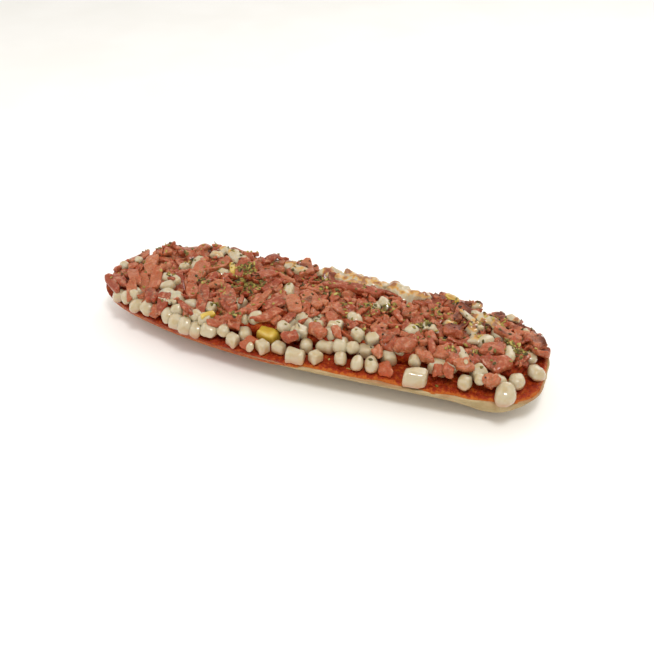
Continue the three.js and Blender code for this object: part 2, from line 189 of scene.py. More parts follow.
@dataclass(frozen=True)
class Outline:
    """The loaf seen from above: three kinds of rounded corner, a skewed far end, a bulging front."""

    half_length: float = HALF_LENGTH
    half_width: float = HALF_WIDTH
    near_front: float = 4.4
    near_back: float = 3.1
    far: float = 3.05
    far_slant: float = 0.2
    bulge: float = 5.4
    bulge_x: float = -12.0
    bulge_spread: tuple[float, float] = (75.0, 60.0)

    def squareness(self, x: np.ndarray, y: np.ndarray) -> np.ndarray:
        """Gives the exponent of the corner that each point lies in."""
        return np.where(x < 0, self.far, np.where(y < 0, self.near_front, self.near_back))

    def front_stretch(self, x: np.ndarray) -> np.ndarray:
        """Tells how much the front half is stretched across at each place along the loaf."""
        away = (x - self.bulge_x) / np.where(x < self.bulge_x, *self.bulge_spread)
        return 1 + self.bulge / self.half_width * np.exp(-(away**2))

    def ring(self, angles: np.ndarray, inset: np.ndarray | float) -> np.ndarray:
        """Gives points of the outline.

        Args:
            angles: The directions of the points, in radians.
            inset: How far in from the rim they lie.

        Returns:
            A row of x and y for each point.
        """
        c, s = np.cos(angles), np.sin(angles)
        power = 2 / self.squareness(c, s)
        x = np.sign(c) * np.abs(c) ** power
        across = np.sign(s) * np.abs(s) ** power * (self.half_width - inset)
        slant = np.where(c > 0, 0, self.far_slant * x**4)
        along = x * (self.half_length - inset) + slant * across
        stretched = np.where(across < 0, across * self.front_stretch(along), across)
        return np.stack([along, stretched], axis=1)

    def share(self, x: np.ndarray, y: np.ndarray, inset: float = 0) -> np.ndarray:
        """Tells how far out points lie.

        Args:
            x: Places along the loaf.
            y: Places across it.
            inset: How far in from the rim the line of 1 lies.

        Returns:
            0 at the middle and 1 at the inset from the rim.
        """
        x, y = np.asarray(x, dtype=float), np.asarray(y, dtype=float)
        across = np.where(y < 0, y / self.front_stretch(x), y)
        slant = np.where(x > 0, 0, self.far_slant * (x / self.half_length) ** 4)
        u = np.abs((x - slant * across) / (self.half_length - inset))
        v = np.abs(across / (self.half_width - inset))
        power = self.squareness(x, y)
        return (u**power + v**power) ** (1 / power)

    def even_angles(self, count: int) -> np.ndarray:
        """Gives angles whose points are the same distance apart along the rim."""
        fine = np.linspace(0, 2 * math.pi, 40001)
        rim = self.ring(fine, 0)
        run = np.concatenate([[0], np.cumsum(np.linalg.norm(np.diff(rim, axis=0), axis=1))])
        return np.interp(np.arange(count) * run[-1] / count, run, fine)


OUTLINE = Outline()


# ---------------------------------------------------------------------------- meshes


@dataclass
class Skin:
    """A mesh in the making: corners, faces of four, and a value per corner for each trait."""

    points: list[np.ndarray] = field(default_factory=list)
    faces: list[np.ndarray] = field(default_factory=list)
    traits: dict[str, list[np.ndarray]] = field(default_factory=dict)
    count: int = 0

    def add(self, points: np.ndarray, faces: np.ndarray, **traits: np.ndarray | float) -> None:
        """Adds a closed patch.

        Args:
            points: Its corners in millimetres.
            faces: Its faces, as rows of corner numbers.
            **traits: A value for each corner, or one for all of them.
        """
        self.points.append(points)
        self.faces.append(faces + self.count)
        self.count += len(points)
        for name, value in traits.items():
            self.traits.setdefault(name, []).append(np.broadcast_to(value, len(points)))

    def mesh(self, name: str) -> bpy.types.Object:
        """Makes the mesh and an object that shows it.

        Args:
            name: The object's name.

        Returns:
            The object, linked to the scene.
        """
        points = (np.concatenate(self.points) + LOAF_AXIS) * MM
        faces = np.concatenate(self.faces)
        mesh = bpy.data.meshes.new(name)
        mesh.vertices.add(len(points))
        mesh.vertices.foreach_set("co", points.astype(np.float32).ravel())
        mesh.loops.add(faces.size)
        mesh.loops.foreach_set("vertex_index", faces.astype(np.int32).ravel())
        mesh.polygons.add(len(faces))
        starts = np.arange(0, faces.size, faces.shape[1], dtype=np.int32)
        mesh.polygons.foreach_set("loop_start", starts)
        mesh.update(calc_edges=True)
        mesh.polygons.foreach_set("use_smooth", np.ones(len(faces), dtype=bool))
        for trait, values in self.traits.items():
            set_trait(mesh, trait, np.concatenate(values))
        made = bpy.data.objects.new(name, mesh)
        bpy.context.scene.collection.objects.link(made)
        return made

    def make(self, name: str, finish: Finish, *nodes: str) -> bpy.types.Object:
        """Makes a finished piece of the baguette.

        Args:
            name: The piece's name.
            finish: Its material.
            *nodes: The nodes of the frame that it stands for.

        Returns:
            The piece.
        """
        return dress(self.mesh(name), finish, *nodes)


def set_trait(mesh: bpy.types.Mesh, name: str, values: np.ndarray) -> None:
    """Gives each corner of a mesh a value that its material can read."""
    attribute = mesh.attributes.new(name, "FLOAT", "POINT")
    attribute.data.foreach_set("value", values.astype(np.float32))


def dress(piece: bpy.types.Object, finish: Finish, *nodes: str) -> bpy.types.Object:
    """Gives a piece its material and its place in the frame.

    Args:
        piece: The piece.
        finish: Its material.
        *nodes: The nodes of the frame that it stands for.

    Returns:
        The same piece.
    """
    piece.data.materials.clear()
    piece.data.materials.append(finish.material())
    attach(piece, BODY)
    for node in nodes:
        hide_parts(node)
    LOG.info("%s: %d faces", piece.name, len(piece.data.polygons))
    return piece


def rings_to_skin(rings: Sequence[np.ndarray]) -> tuple[np.ndarray, np.ndarray]:
    """Joins closed rings into a closed skin whose two ends are flat caps of four-sided faces.

    Args:
        rings: The rings, each an even number of points, from the underside to the top.

    Returns:
        The corners and the faces.
    """
    count = len(rings[0])
    here = np.arange(count)
    following = (here + 1) % count
    walls = [
        np.stack([here, following, following + count, here + count], axis=1) + ring * count
        for ring in range(len(rings) - 1)
    ]
    left = np.arange(count // 2)
    right = (count - 1 - left) % count
    cap = np.stack([left[:-1], left[1:], right[1:], right[:-1]], axis=1)
    last = (len(rings) - 1) * count
    return np.concatenate(rings), np.concatenate([*walls, cap[:, ::-1], cap + last])


@lru_cache(maxsize=None)
def box_lattice(cells: tuple[int, int, int]) -> tuple[np.ndarray, np.ndarray]:
    """Divides the skin of a box into four-sided faces.

    Args:
        cells: How many cells there are along x, y and z.

    Returns:
        The whole-number place of each corner, and the faces.
    """
    base = max(cells) + 1
    quads = []
    for axis in range(3):
        first, second = (axis + 1) % 3, (axis + 2) % 3
        a, b = np.meshgrid(np.arange(cells[first]), np.arange(cells[second]), indexing="ij")
        for side in (0, cells[axis]):
            outward = ((0, 0), (1, 0), (1, 1), (0, 1))
            square = []
            for da, db in outward if side else outward[::-1]:
                place = np.zeros((a.size, 3), dtype=np.int64)
                place[:, axis] = side
                place[:, first] = a.ravel() + da
                place[:, second] = b.ravel() + db
                square.append(place @ np.array([base * base, base, 1]))
            quads.append(np.stack(square, axis=1))
    codes, faces = np.unique(np.concatenate(quads), return_inverse=True)
    places = np.stack([codes // (base * base), codes // base % base, codes % base], axis=1)
    return places, faces.reshape(-1, 4)


def rounded_block(
    half: Sequence[float], radius: float, inner: tuple[int, int, int]
) -> tuple[np.ndarray, np.ndarray, np.ndarray]:
    """Makes a block with round edges.

    Args:
        half: Half its length, width and height.
        radius: The edges' radius.
        inner: How many cells there are between the round edges along each side.

    Returns:
        The corners, the direction that the skin faces at each, and the faces.
    """
    radius = min(radius, 0.98 * min(half))
    places, faces = box_lattice(tuple(n + 4 for n in inner))
    points = np.empty(places.shape)
    for axis, (reach, n) in enumerate(zip(half, inner)):
        flat = np.linspace(-(reach - radius), reach - radius, n + 1)
        edge = np.array([reach, reach - 0.55 * radius])
        ticks = np.concatenate([-edge, flat, edge[::-1]])
        points[:, axis] = ticks[places[:, axis]]
    room = np.array(half) - radius
    heart = np.clip(points, -room, room)
    outward = points - heart
    outward /= np.linalg.norm(outward, axis=1, keepdims=True)
    return heart + radius * outward, outward, faces


# ---------------------------------------------------------------------------- finishes


def linear(colour: str) -> tuple[float, float, float, float]:
    """Turns a colour from sRGB hex to linear light.

    Args:
        colour: Six hex digits.

    Returns:
        Red, green, blue and an alpha of 1.
    """
    shares = [int(colour[i : i + 2], 16) / 255 for i in (0, 2, 4)]
    light = [s / 12.92 if s <= 0.04045 else ((s + 0.055) / 1.055) ** 2.4 for s in shares]
    return (*light, 1.0)


def add_node(
    tree: bpy.types.NodeTree,
    kind: str,
    sockets: dict[str | int, object] | None = None,
    stops: Sequence[tuple[float, str]] = (),
    **settings: object,
) -> bpy.types.Node:
    """Adds a node with its settings and links.

    Args:
        tree: The material's nodes.
        kind: The node's type.
        sockets: A value, or an output to link, for each named or numbered input.
        stops: Place and colour of each stop, for a colour ramp.
        **settings: The node's own settings.

    Returns:
        The node.
    """
    node = tree.nodes.new(kind)
    for name, value in settings.items():
        setattr(node, name, value)
    for key, value in (sockets or {}).items():
        if isinstance(value, bpy.types.NodeSocket):
            tree.links.new(value, node.inputs[key])
        else:
            node.inputs[key].default_value = value
    for number, (place, colour) in enumerate(stops):
        elements = node.color_ramp.elements
        stop = elements[number] if number < 2 else elements.new(place)
        stop.position = place
        stop.color = linear(colour)
    return node


def trait(tree: bpy.types.NodeTree, name: str) -> bpy.types.NodeSocket:
    """Reads a value that the mesh gives for each of its corners."""
    return add_node(tree, "ShaderNodeAttribute", attribute_name=name).outputs["Fac"]


def ramp(
    tree: bpy.types.NodeTree, value: bpy.types.NodeSocket, stops: Sequence[tuple[float, str]]
) -> bpy.types.NodeSocket:
    """Turns a value into a colour.

    Args:
        tree: The material's nodes.
        value: The output that gives the value.
        stops: Place and colour of each stop, the lowest first and the highest second.

    Returns:
        The output that gives the colour.
    """
    return add_node(tree, "ShaderNodeValToRGB", {"Fac": value}, stops).outputs[0]


# The numbers of a colour mix's sockets.
SHARE, FIRST, SECOND, MIXED = 0, 6, 7, 2


def blend(
    tree: bpy.types.NodeTree,
    share: bpy.types.NodeSocket,
    first: str | bpy.types.NodeSocket,
    second: str | bpy.types.NodeSocket,
) -> bpy.types.NodeSocket:
    """Mixes two colours.

    Args:
        tree: The material's nodes.
        share: The output that gives how much of the second there is.
        first: A colour in hex, or the output that gives one.
        second: The other colour, likewise.

    Returns:
        The output that gives the mix.
    """
    one, other = (linear(tone) if isinstance(tone, str) else tone for tone in (first, second))
    sockets = {SHARE: share, FIRST: one, SECOND: other}
    return add_node(tree, "ShaderNodeMix", sockets, data_type="RGBA").outputs[MIXED]


def spots(
    tree: bpy.types.NodeTree, grain: float, low: float, high: float, detail: float = 2.0
) -> bpy.types.NodeSocket:
    """Makes a soft random pattern fixed to the object.

    Args:
        tree: The material's nodes.
        grain: The size of its spots in millimetres.
        low: The noise level that becomes 0.
        high: The noise level that becomes 1.
        detail: How many finer layers there are.

    Returns:
        The output, from 0 to 1.
    """
    place = add_node(tree, "ShaderNodeTexCoord").outputs["Object"]
    scale = 1 / (grain * MM)
    noise = add_node(tree, "ShaderNodeTexNoise", {"Vector": place, "Scale": scale, "Detail": detail})
    limits = {"Value": noise.outputs[0], "From Min": low, "From Max": high}
    spread = add_node(tree, "ShaderNodeMapRange", limits, interpolation_type="SMOOTHSTEP")
    return spread.outputs[0]


def dent(tree: bpy.types.NodeTree, shader: bpy.types.Node, grain: float, depth: float) -> None:
    """Gives the shader a fine relief.

    Args:
        tree: The material's nodes.
        shader: The principled shader.
        grain: The size of its bumps in millimetres.
        depth: Their height in millimetres.
    """
    height = spots(tree, grain, 0.2, 0.8, 4)
    bump = add_node(tree, "ShaderNodeBump", {"Height": height, "Distance": depth * MM, "Strength": 1.0})
    tree.links.new(bump.outputs[0], shader.inputs["Normal"])


@dataclass(frozen=True)
class Finish:
    """What every finish has: a name, a material slot, a gloss and a relief."""

    name: str = "finish"
    slot: str = "bread"
    roughness: float = 0.5
    ior: float = 1.45
    specular: float = 0.5
    coat: float = 0.0
    coat_roughness: float = 0.1
    glow: float = 0.0
    glow_depth: float = 1.0
    glow_radius: tuple[float, float, float] = (1.0, 0.5, 0.3)
    grain: float = 1.0
    grain_depth: float = 0.1

    def colour(self, tree: bpy.types.NodeTree) -> bpy.types.NodeSocket:
        """Makes the nodes for the colour; each finish has its own.

        Args:
            tree: The material's nodes.

        Returns:
            The output that gives the colour.
        """
        raise NotImplementedError

    def material(self) -> bpy.types.Material:
        """Gives the material, made once.

        Returns:
            The material.
        """
        made = bpy.data.materials.get(self.name)
        if made:
            return made
        made = bpy.data.materials.new(self.name)
        made.use_nodes = True
        tree = made.node_tree
        tree.nodes.clear()
        surface = {
            "Base Color": self.colour(tree),
            "Roughness": self.roughness,
            "IOR": self.ior,
            "Specular IOR Level": self.specular,
            "Coat Weight": self.coat,
            "Coat Roughness": self.coat_roughness,
            "Subsurface Weight": self.glow,
            "Subsurface Scale": self.glow_depth * MM,
            "Subsurface Radius": self.glow_radius,
        }
        shader = add_node(tree, "ShaderNodeBsdfPrincipled", surface)
        dent(tree, shader, self.grain, self.grain_depth)
        add_node(tree, "ShaderNodeOutputMaterial", {"Surface": shader.outputs[0]})
        return made


@dataclass(frozen=True)
class PaleBakedBread(Finish):
    """Wheat bread baked only until set: a matt, pale crumb, with painted shade, darker and more golden,
    low on the crust.

    The eye gets a dry, even beige with faint floury mottling, stained orange where oil from the
    sauce has soaked in.
    """

    name: str = "pale_baked_wheat_bread"
    slot: str = "bread"
    roughness: float = 0.78
    specular: float = 0.25
    glow: float = 0.15
    glow_depth: float = 1.5
    grain: float = 1.6
    grain_depth: float = 0.3
    mottle_grain: float = 6.0
    crumb: str = "B5A079"
    shade: str = "A58F66"
    # Painted shade of the rounded underside, blended in low on the crust by the crust trait.
    crust: str = "A08455"
    stain: str = "963C10"

    def colour(self, tree: bpy.types.NodeTree) -> bpy.types.NodeSocket:
        """Paints crumb, the painted shade low on the crust, and the oil stain.

        Args:
            tree: The material's nodes.

        Returns:
            The output that gives the colour.
        """
        crumb = blend(tree, spots(tree, self.mottle_grain, 0.35, 0.65, 4), self.crumb, self.shade)
        # The crust trait paints shade: darker low on the rounded underside.
        loaf = blend(tree, trait(tree, "crust"), crumb, self.crust)
        return blend(tree, trait(tree, "stain"), loaf, self.stain)


@dataclass(frozen=True)
class CookedTomatoSauce(Finish):
    """Tomato pulp cooked down and spread: wet and coarse, orange where thin, dark red where deep."""

    name: str = "cooked_tomato_sauce"
    slot: str = "sauce"
    roughness: float = 0.4
    ior: float = 1.34
    specular: float = 0.35
    glow: float = 0.1
    glow_depth: float = 1.0
    glow_radius: tuple[float, float, float] = (1.0, 0.3, 0.1)
    grain: float = 1.1
    grain_depth: float = 0.6
    lump_grain: float = 1.8
    lump_drift: tuple[float, float] = (-0.3, 0.26)
    thin: str = "B45C1A"
    middle: str = "98300A"
    deep: str = "701A08"

    def colour(self, tree: bpy.types.NodeTree) -> bpy.types.NodeSocket:
        """Paints the sauce by how deep it is, with lumps of pulp in it.

        Args:
            tree: The material's nodes.

        Returns:
            The output that gives the colour.
        """
        lumps = spots(tree, self.lump_grain, 0.3, 0.7, 4)
        thinner, thicker = self.lump_drift
        limits = {"Value": lumps, "To Min": thinner, "To Max": thicker}
        drift = add_node(tree, "ShaderNodeMapRange", limits).outputs[0]
        terms = {0: trait(tree, "depth"), 1: drift}
        level = add_node(tree, "ShaderNodeMath", terms, operation="ADD").outputs[0]
        return ramp(tree, level, [(0.08, self.thin), (1.0, self.deep), (0.42, self.middle)])


@dataclass(frozen=True)
class CookedHam(Finish):
    """Cured ham, cooked, pressed and cut: moist and fibrous, salmon pink, brown where it stood proud.

    The eye gets small wet glints on soft pink flesh, redder where light shines through the edges, and a
    brick red deep in the heap and in the gaps, which is sauce stain with painted shade.
    """

    name: str = "cooked_cured_ham"
    slot: str = "ham"
    roughness: float = 0.42
    ior: float = 1.38
    specular: float = 0.3
    coat: float = 0.3
    coat_roughness: float = 0.14
    glow: float = 0.65
    glow_depth: float = 2.4
    glow_radius: tuple[float, float, float] = (1.0, 0.4, 0.25)
    grain: float = 1.1
    grain_depth: float = 0.32
    fat_grain: float = 2.4
    lean_grain: float = 1.8
    light: str = "AE6944"
    middle: str = "A0502E"
    dark: str = "8C3A1C"
    fat: str = "BC8062"
    lean: str = "903210"
    toasted: str = "5E260C"
    # Sauce stain and painted shade, for ham that lies deep in the heap.
    sunk_stain_and_shade: str = "B24616"

    def colour(self, tree: bpy.types.NodeTree) -> bpy.types.NodeSocket:
        """Paints each piece in its own pink, browned on top, and brick red below: sauce stain with
        painted shade.

        Args:
            tree: The material's nodes.

        Returns:
            The output that gives the colour.
        """
        own = add_node(tree, "ShaderNodeNewGeometry").outputs["Random Per Island"]
        tone = ramp(tree, own, [(0.0, self.dark), (1.0, self.light), (0.45, self.middle)])
        marbled = blend(tree, spots(tree, self.fat_grain, 0.46, 0.72, 5), tone, self.fat)
        flesh = blend(tree, spots(tree, self.lean_grain, 0.52, 0.82, 4), marbled, self.lean)
        baked = blend(tree, trait(tree, "toast"), flesh, self.toasted)
        # The brick red deep in the heap is sauce stain and painted shade.
        return blend(tree, trait(tree, "soak"), baked, self.sunk_stain_and_shade)


@dataclass(frozen=True)
class SoftenedCheese(Finish):
    """White cheese in stubs, heated until it softens: smooth, waxy and wet, browned at the tips.

    The eye gets rounded cream bodies that light shines into, a small sharp glint on each, golden crusts
    where the oven caught them, and an orange foot that is sauce drawn up with a painted reflection of
    the sauce, and painted shade deep in the heap.
    """

    name: str = "softened_white_cheese"
    slot: str = "cheese"
    roughness: float = 0.28
    coat: float = 1.0
    coat_roughness: float = 0.06
    glow: float = 0.5
    glow_depth: float = 2.0
    glow_radius: tuple[float, float, float] = (1.0, 0.7, 0.4)
    grain: float = 2.4
    grain_depth: float = 0.06
    shade_grain: float = 3.5
    crust_onset: float = 0.35
    body: str = "B7A98B"
    shade: str = "AF9A70"
    golden: str = "C08C30"
    charred: str = "8E5418"
    # Sauce stain with the sauce's reflection painted in, and painted shade deep in the heap.
    sauce_stain_and_painted_light: str = "AC6430"

    def colour(self, tree: bpy.types.NodeTree) -> bpy.types.NodeSocket:
        """Paints the cheese, its browned tips, and its orange foot: sauce drawn up, painted reflection
        of the sauce and painted shade.

        Args:
            tree: The material's nodes.

        Returns:
            The output that gives the colour.
        """
        browned = trait(tree, "toast")
        body = blend(tree, spots(tree, self.shade_grain, 0.4, 0.75), self.body, self.shade)
        crust = ramp(tree, browned, [(0.0, self.body), (1.0, self.charred), (0.6, self.golden)])
        limits = {"Value": browned, "From Max": self.crust_onset}
        share = add_node(tree, "ShaderNodeMapRange", limits).outputs[0]
        baked = blend(tree, share, body, crust)
        # The orange foot is sauce stain with painted reflection and painted shade.
        return blend(tree, trait(tree, "soak"), baked, self.sauce_stain_and_painted_light)


@dataclass(frozen=True)
class YellowCheese(SoftenedCheese):
    """A dyed hard cheese, softened: the same wax, in a deep butter yellow."""

    name: str = "softened_yellow_cheese"
    slot: str = "yellow_cheese"
    body: str = "C6A83C"
    shade: str = "B8962E"
    golden: str = "A87424"


@dataclass(frozen=True)
class DriedHerbs(Finish):
    """Leaves dried and rubbed to flakes: matt, brittle, from yellow-green to a dark olive."""

    name: str = "dried_rubbed_herbs"
    slot: str = "bread"
    roughness: float = 0.7
    ior: float = 1.4
    grain: float = 0.5
    grain_depth: float = 0.06
    darkest: str = "342C18"
    dark: str = "5A5024"
    olive: str = "807232"
    yellow: str = "A08E40"
    pale: str = "B4A45A"

    def colour(self, tree: bpy.types.NodeTree) -> bpy.types.NodeSocket:
        """Paints each flake in its own green.

        Args:
            tree: The material's nodes.

        Returns:
            The output that gives the colour.
        """
        own = add_node(tree, "ShaderNodeNewGeometry").outputs["Random Per Island"]
        ends = [(0.0, self.darkest), (1.0, self.pale)]
        between_them = [(0.25, self.dark), (0.6, self.olive), (0.85, self.yellow)]
        return ramp(tree, own, ends + between_them)


@dataclass(frozen=True)
class CharredSpecks(Finish):
    """Bits burnt black in the oven, with a dull sheen."""

    name: str = "oven_charred_specks"
    slot: str = "ham"
    roughness: float = 0.5
    ior: float = 1.5
    grain: float = 0.4
    grain_depth: float = 0.06
    tone_grain: float = 8.0
    black: str = "241512"
    brown: str = "4A2416"

    def colour(self, tree: bpy.types.NodeTree) -> bpy.types.NodeSocket:
        """Paints the specks between black and brown.

        Args:
            tree: The material's nodes.

        Returns:
            The output that gives the colour.
        """
        return blend(tree, spots(tree, self.tone_grain, 0.4, 0.6), self.black, self.brown)


@dataclass(frozen=True)
class PaintedFloor(Finish):
    """A seamless floor painted matt white, with a trace of the roller's texture."""

    name: str = "matt_white_floor_paint"
    roughness: float = 0.85
    grain: float = 2.0
    grain_depth: float = 0.02
    tone_grain: float = 90.0
    white: str = "F8F7F5"
    off_white: str = "F4F3F0"

    def colour(self, tree: bpy.types.NodeTree) -> bpy.types.NodeSocket:
        """Paints the floor.

        Args:
            tree: The material's nodes.

        Returns:
            The output that gives the colour.
        """
        return blend(tree, spots(tree, self.tone_grain, 0.3, 0.7), self.white, self.off_white)


# ---------------------------------------------------------------------------- coming to rest


class Cut(Enum):
    """How a piece of topping is cut."""

    STRIP = "strip"
    DICE = "dice"
    PELLET = "pellet"
    CUBE = "cube"
    STRAND = "strand"
    YELLOW = "yellow"
    SCRAP = "scrap"
    SHRED = "shred"
    MELT = "melt"


HAM_CUTS = (Cut.STRIP, Cut.DICE, Cut.SCRAP, Cut.SHRED)

# The height map's half length and half width, in cells of a square millimetre.
HALF_GRID_X = 130
HALF_GRID_Y = 44

# Where along a piece its underside's height is kept, as shares of its length.
STATIONS = (-0.5, -0.25, 0.0, 0.25, 0.5)

# How high the heap is filled at its rim, and how much higher in the middle.
HEAP_EDGE_HEIGHT = 6.6
HEAP_CROWN = 3.4


def nearest(value: float) -> int:
    """Rounds to the nearest whole number, and a half up."""
    return math.floor(value + 0.5)


@dataclass
class Piece:
    """A piece of topping: its cut, place, size, and the height of its underside."""

    cut: Cut
    x: float
    y: float
    heading: float
    length: float
    width: float
    height: float
    beds: list[float] = field(default_factory=list)
    roll: float = 0.0
    proud: float = 2.4
    area: int = 0
    number: int = -1

    def __post_init__(self) -> None:
        """Works out the direction that the piece lies in."""
        angle = math.radians(self.heading)
        self.along = (math.cos(angle), math.sin(angle))

    def at(self, s: float, t: float) -> tuple[float, float]:
        """Gives the place in the plan at s along the piece and t across it."""
        c, d = self.along
        return self.x + s * c - t * d, self.y + s * d + t * c

    def bed(self, s: float) -> float:
        """Gives the height of the underside at s along the piece."""
        place = clamp((s / self.length + 0.5) * 4, 0, 3.999)
        i = math.floor(place)
        return self.beds[i] + (self.beds[i + 1] - self.beds[i]) * (place - i)

    def top(self, s: float, t: float) -> float:
        """Gives the height of the top surface at s along the piece and t across it."""
        around = math.sqrt(max(0, 1 - (2 * t / self.width) ** 2)) if self.cut is Cut.PELLET else 1
        return self.bed(s) + self.roll * t + (self.height / 2) * (1 + around)


def crown_height(x: np.ndarray, y: np.ndarray) -> np.ndarray:
    """Gives the height that the heap is filled to."""
    return TOPPING_FLOOR + HEAP_EDGE_HEIGHT + HEAP_CROWN * (1 - OUTLINE.share(x, y) ** 2)


@dataclass
class Ground:
    """The height map that toppings come to rest on, one cell to a square millimetre.

    The ground is felt at STATIONS within the share foot of a piece's length, and at
    half_foot_width of its width. A piece rolls and tilts no more than most_roll and most_tilt,
    presses into its bed by soft_sink or firm_sink, and is lifted by high_share of how far the
    highest spot under it stands out.
    """

    laid: list[Piece] = field(default_factory=list)
    foot: float = 0.8
    half_foot_width: float = 0.3
    most_roll: float = 0.3
    most_tilt: float = 0.35
    high_share: float = 0.3
    soft_sink: float = 0.6
    firm_sink: float = 0.4

    def __post_init__(self) -> None:
        """Starts with the bare sauce."""
        shape = (2 * HALF_GRID_X + 1, 2 * HALF_GRID_Y + 1)
        self.height = np.full(shape, TOPPING_FLOOR)
        self.owner = np.full(shape, -1)

    def cell(self, x: float, y: float) -> tuple[int, int]:
        """Gives the cell at a place in the plan."""
        column = int(clamp(nearest(x), -HALF_GRID_X, HALF_GRID_X)) + HALF_GRID_X
        row = int(clamp(nearest(y), -HALF_GRID_Y, HALF_GRID_Y)) + HALF_GRID_Y
        return column, row

    def support(self, x: float, y: float, reach: float) -> float:
        """Gives the highest ground within reach of a point."""
        steps = range(-math.floor(reach), math.floor(reach) + 1)
        near = [(i, j) for i in steps for j in steps if i * i + j * j <= reach * reach]
        return max(self.height[self.cell(x + i, y + j)] for i, j in near)

    def mean_height(self, x: float, y: float) -> float:
        """Gives the mean height of the ground around a point."""
        column, row = self.cell(x, y)
        return float(self.height[max(0, column - 3) : column + 4, max(0, row - 3) : row + 4].mean())

    def settle(self, piece: Piece) -> Piece:
        """Lays a piece on what is there: a strip sags, and anything else tilts and nestles in.

        Args:
            piece: The piece, which gets its beds and its roll.

        Returns:
            The piece.
        """
        reach = max(1, self.half_foot_width * piece.width)
        feet = [piece.at(share * self.foot * piece.length, 0) for share in STATIONS]
        under = [self.support(*place, reach) for place in feet]
        left = self.support(*piece.at(0, self.half_foot_width * piece.width), 1)
        right = self.support(*piece.at(0, -self.half_foot_width * piece.width), 1)
        piece.roll = clamp((left - right) / (1.2 * piece.width), -self.most_roll, self.most_roll)
        if piece.cut in (Cut.STRIP, Cut.MELT):
            before = [under[0], *under[:-1]]
            after = [*under[1:], under[-1]]
            eased = [(a + 2 * h + b) / 4 for a, h, b in zip(before, under, after)]
            raised = [h + self.high_share * max(0, under[i] - h) for i, h in enumerate(eased)]
            piece.beds = [max(TOPPING_FLOOR, h - self.soft_sink) for h in raised]
        else:
            slope = clamp((under[4] - under[0]) / (1.2 * piece.length), -self.most_tilt, self.most_tilt)
            rests = [h - slope * share * self.foot * piece.length for h, share in zip(under, STATIONS)]
            mean = sum(rests) / len(rests)
            middle = mean + self.high_share * (max(rests) - mean) - self.firm_sink
            middle = max(TOPPING_FLOOR, middle)
            piece.beds = [middle + slope * share * piece.length for share in STATIONS]
        crown = float(crown_height(piece.x, piece.y))
        above = max(piece.beds) + piece.height - crown - piece.proud
        if above > 0:
            piece.beds = [max(TOPPING_FLOOR, h - above) for h in piece.beds]
        return piece

    def lift(self, piece: Piece) -> None:
        """Lifts the ground to a piece's top, and marks the cells as its own.

        Args:
            piece: The piece, settled and kept.
        """
        reach = math.ceil(math.hypot(piece.length, piece.width) / 2)
        c, d = piece.along
        for i in range(-reach, reach + 1):
            for j in range(-reach, reach + 1):
                s = i * c + j * d
                t = j * c - i * d
                if abs(s) > piece.length / 2 or abs(t) > piece.width / 2:
                    continue
                cell = self.cell(piece.x + i, piece.y + j)
                height = piece.top(s, t)
                if height <= self.height[cell]:
                    continue
                if self.owner[cell] >= 0:
                    self.laid[self.owner[cell]].area -= 1
                self.height[cell] = height
                self.owner[cell] = piece.number
                piece.area += 1

    def keep(self, piece: Piece) -> None:
        """Puts a piece on the list of what is laid."""
        piece.number = len(self.laid)
        self.laid.append(piece)

    def lay(self, piece: Piece) -> None:
        """Adds a piece on top of what is there."""
        self.settle(piece)
        self.keep(piece)
        self.lift(piece)


# ---------------------------------------------------------------------------- where toppings lie

Row = tuple[Cut, float, float, float, float, float, float]

# Single pieces on the bare sauce: cut, x, y, heading in degrees, length, width, height.
SINGLES: tuple[Row, ...] = (
    (Cut.PELLET, 109.6, 1.2, 0, 7.6, 6.4, 6.4),
    (Cut.PELLET, 114.4, -8.2, -30, 8.8, 7.2, 7),
    (Cut.PELLET, 107.2, -17.6, -70, 8.6, 7.6, 7),
    (Cut.PELLET, 99.2, -20.4, -10, 8, 6.4, 6.4),
    (Cut.PELLET, 104, -28.8, -80, 10.8, 9.4, 9),
    (Cut.PELLET, 84.6, -27.2, 84, 8, 7, 6.8),
    (Cut.CUBE, 70.4, -21.4, -2, 9.6, 7.6, 7.4),
    (Cut.CUBE, 62, -32.6, 16, 11.4, 7.8, 7.8),
    (Cut.DICE, 46, -30.6, -50, 7.4, 6.4, 4.8),
    (Cut.CUBE, 45.8, -23.2, 30, 7, 6.4, 6.2),
    (Cut.PELLET, 39.4, -30.4, -58, 9, 6.4, 6.4),
    (Cut.PELLET, 32.8, -31.8, -82, 8, 6.2, 6.2),
    (Cut.CUBE, 33.8, -22.4, 4, 8.8, 6.6, 6.4),
    (Cut.PELLET, 24.2, -31.6, -76, 7.2, 6.2, 6.4),
    (Cut.PELLET, 14.2, -26.2, 4, 9.8, 6.6, 6.6),
    (Cut.CUBE, 12.4, -34.8, 46, 6, 5.8, 6),
    (Cut.PELLET, 5.2, -28.8, -80, 7.6, 6.4, 6.8),
    (Cut.CUBE, 2.6, -37.2, 6, 9.6, 6.6, 5.8),
    (Cut.CUBE, -7, -34.6, -10, 6.6, 6, 6),
    (Cut.CUBE, -15.2, -36.8, -30, 6.8, 6.2, 6.2),
    (Cut.YELLOW, -16, -27.8, -6, 11.6, 7.6, 6.4),
    (Cut.PELLET, -27.4, -31.2, -62, 8.6, 6.6, 6.6),
    (Cut.CUBE, -31.4, -37, -24, 7.2, 6, 6),
    (Cut.DICE, -22.6, -36.4, 60, 7, 5.4, 4.8),
)

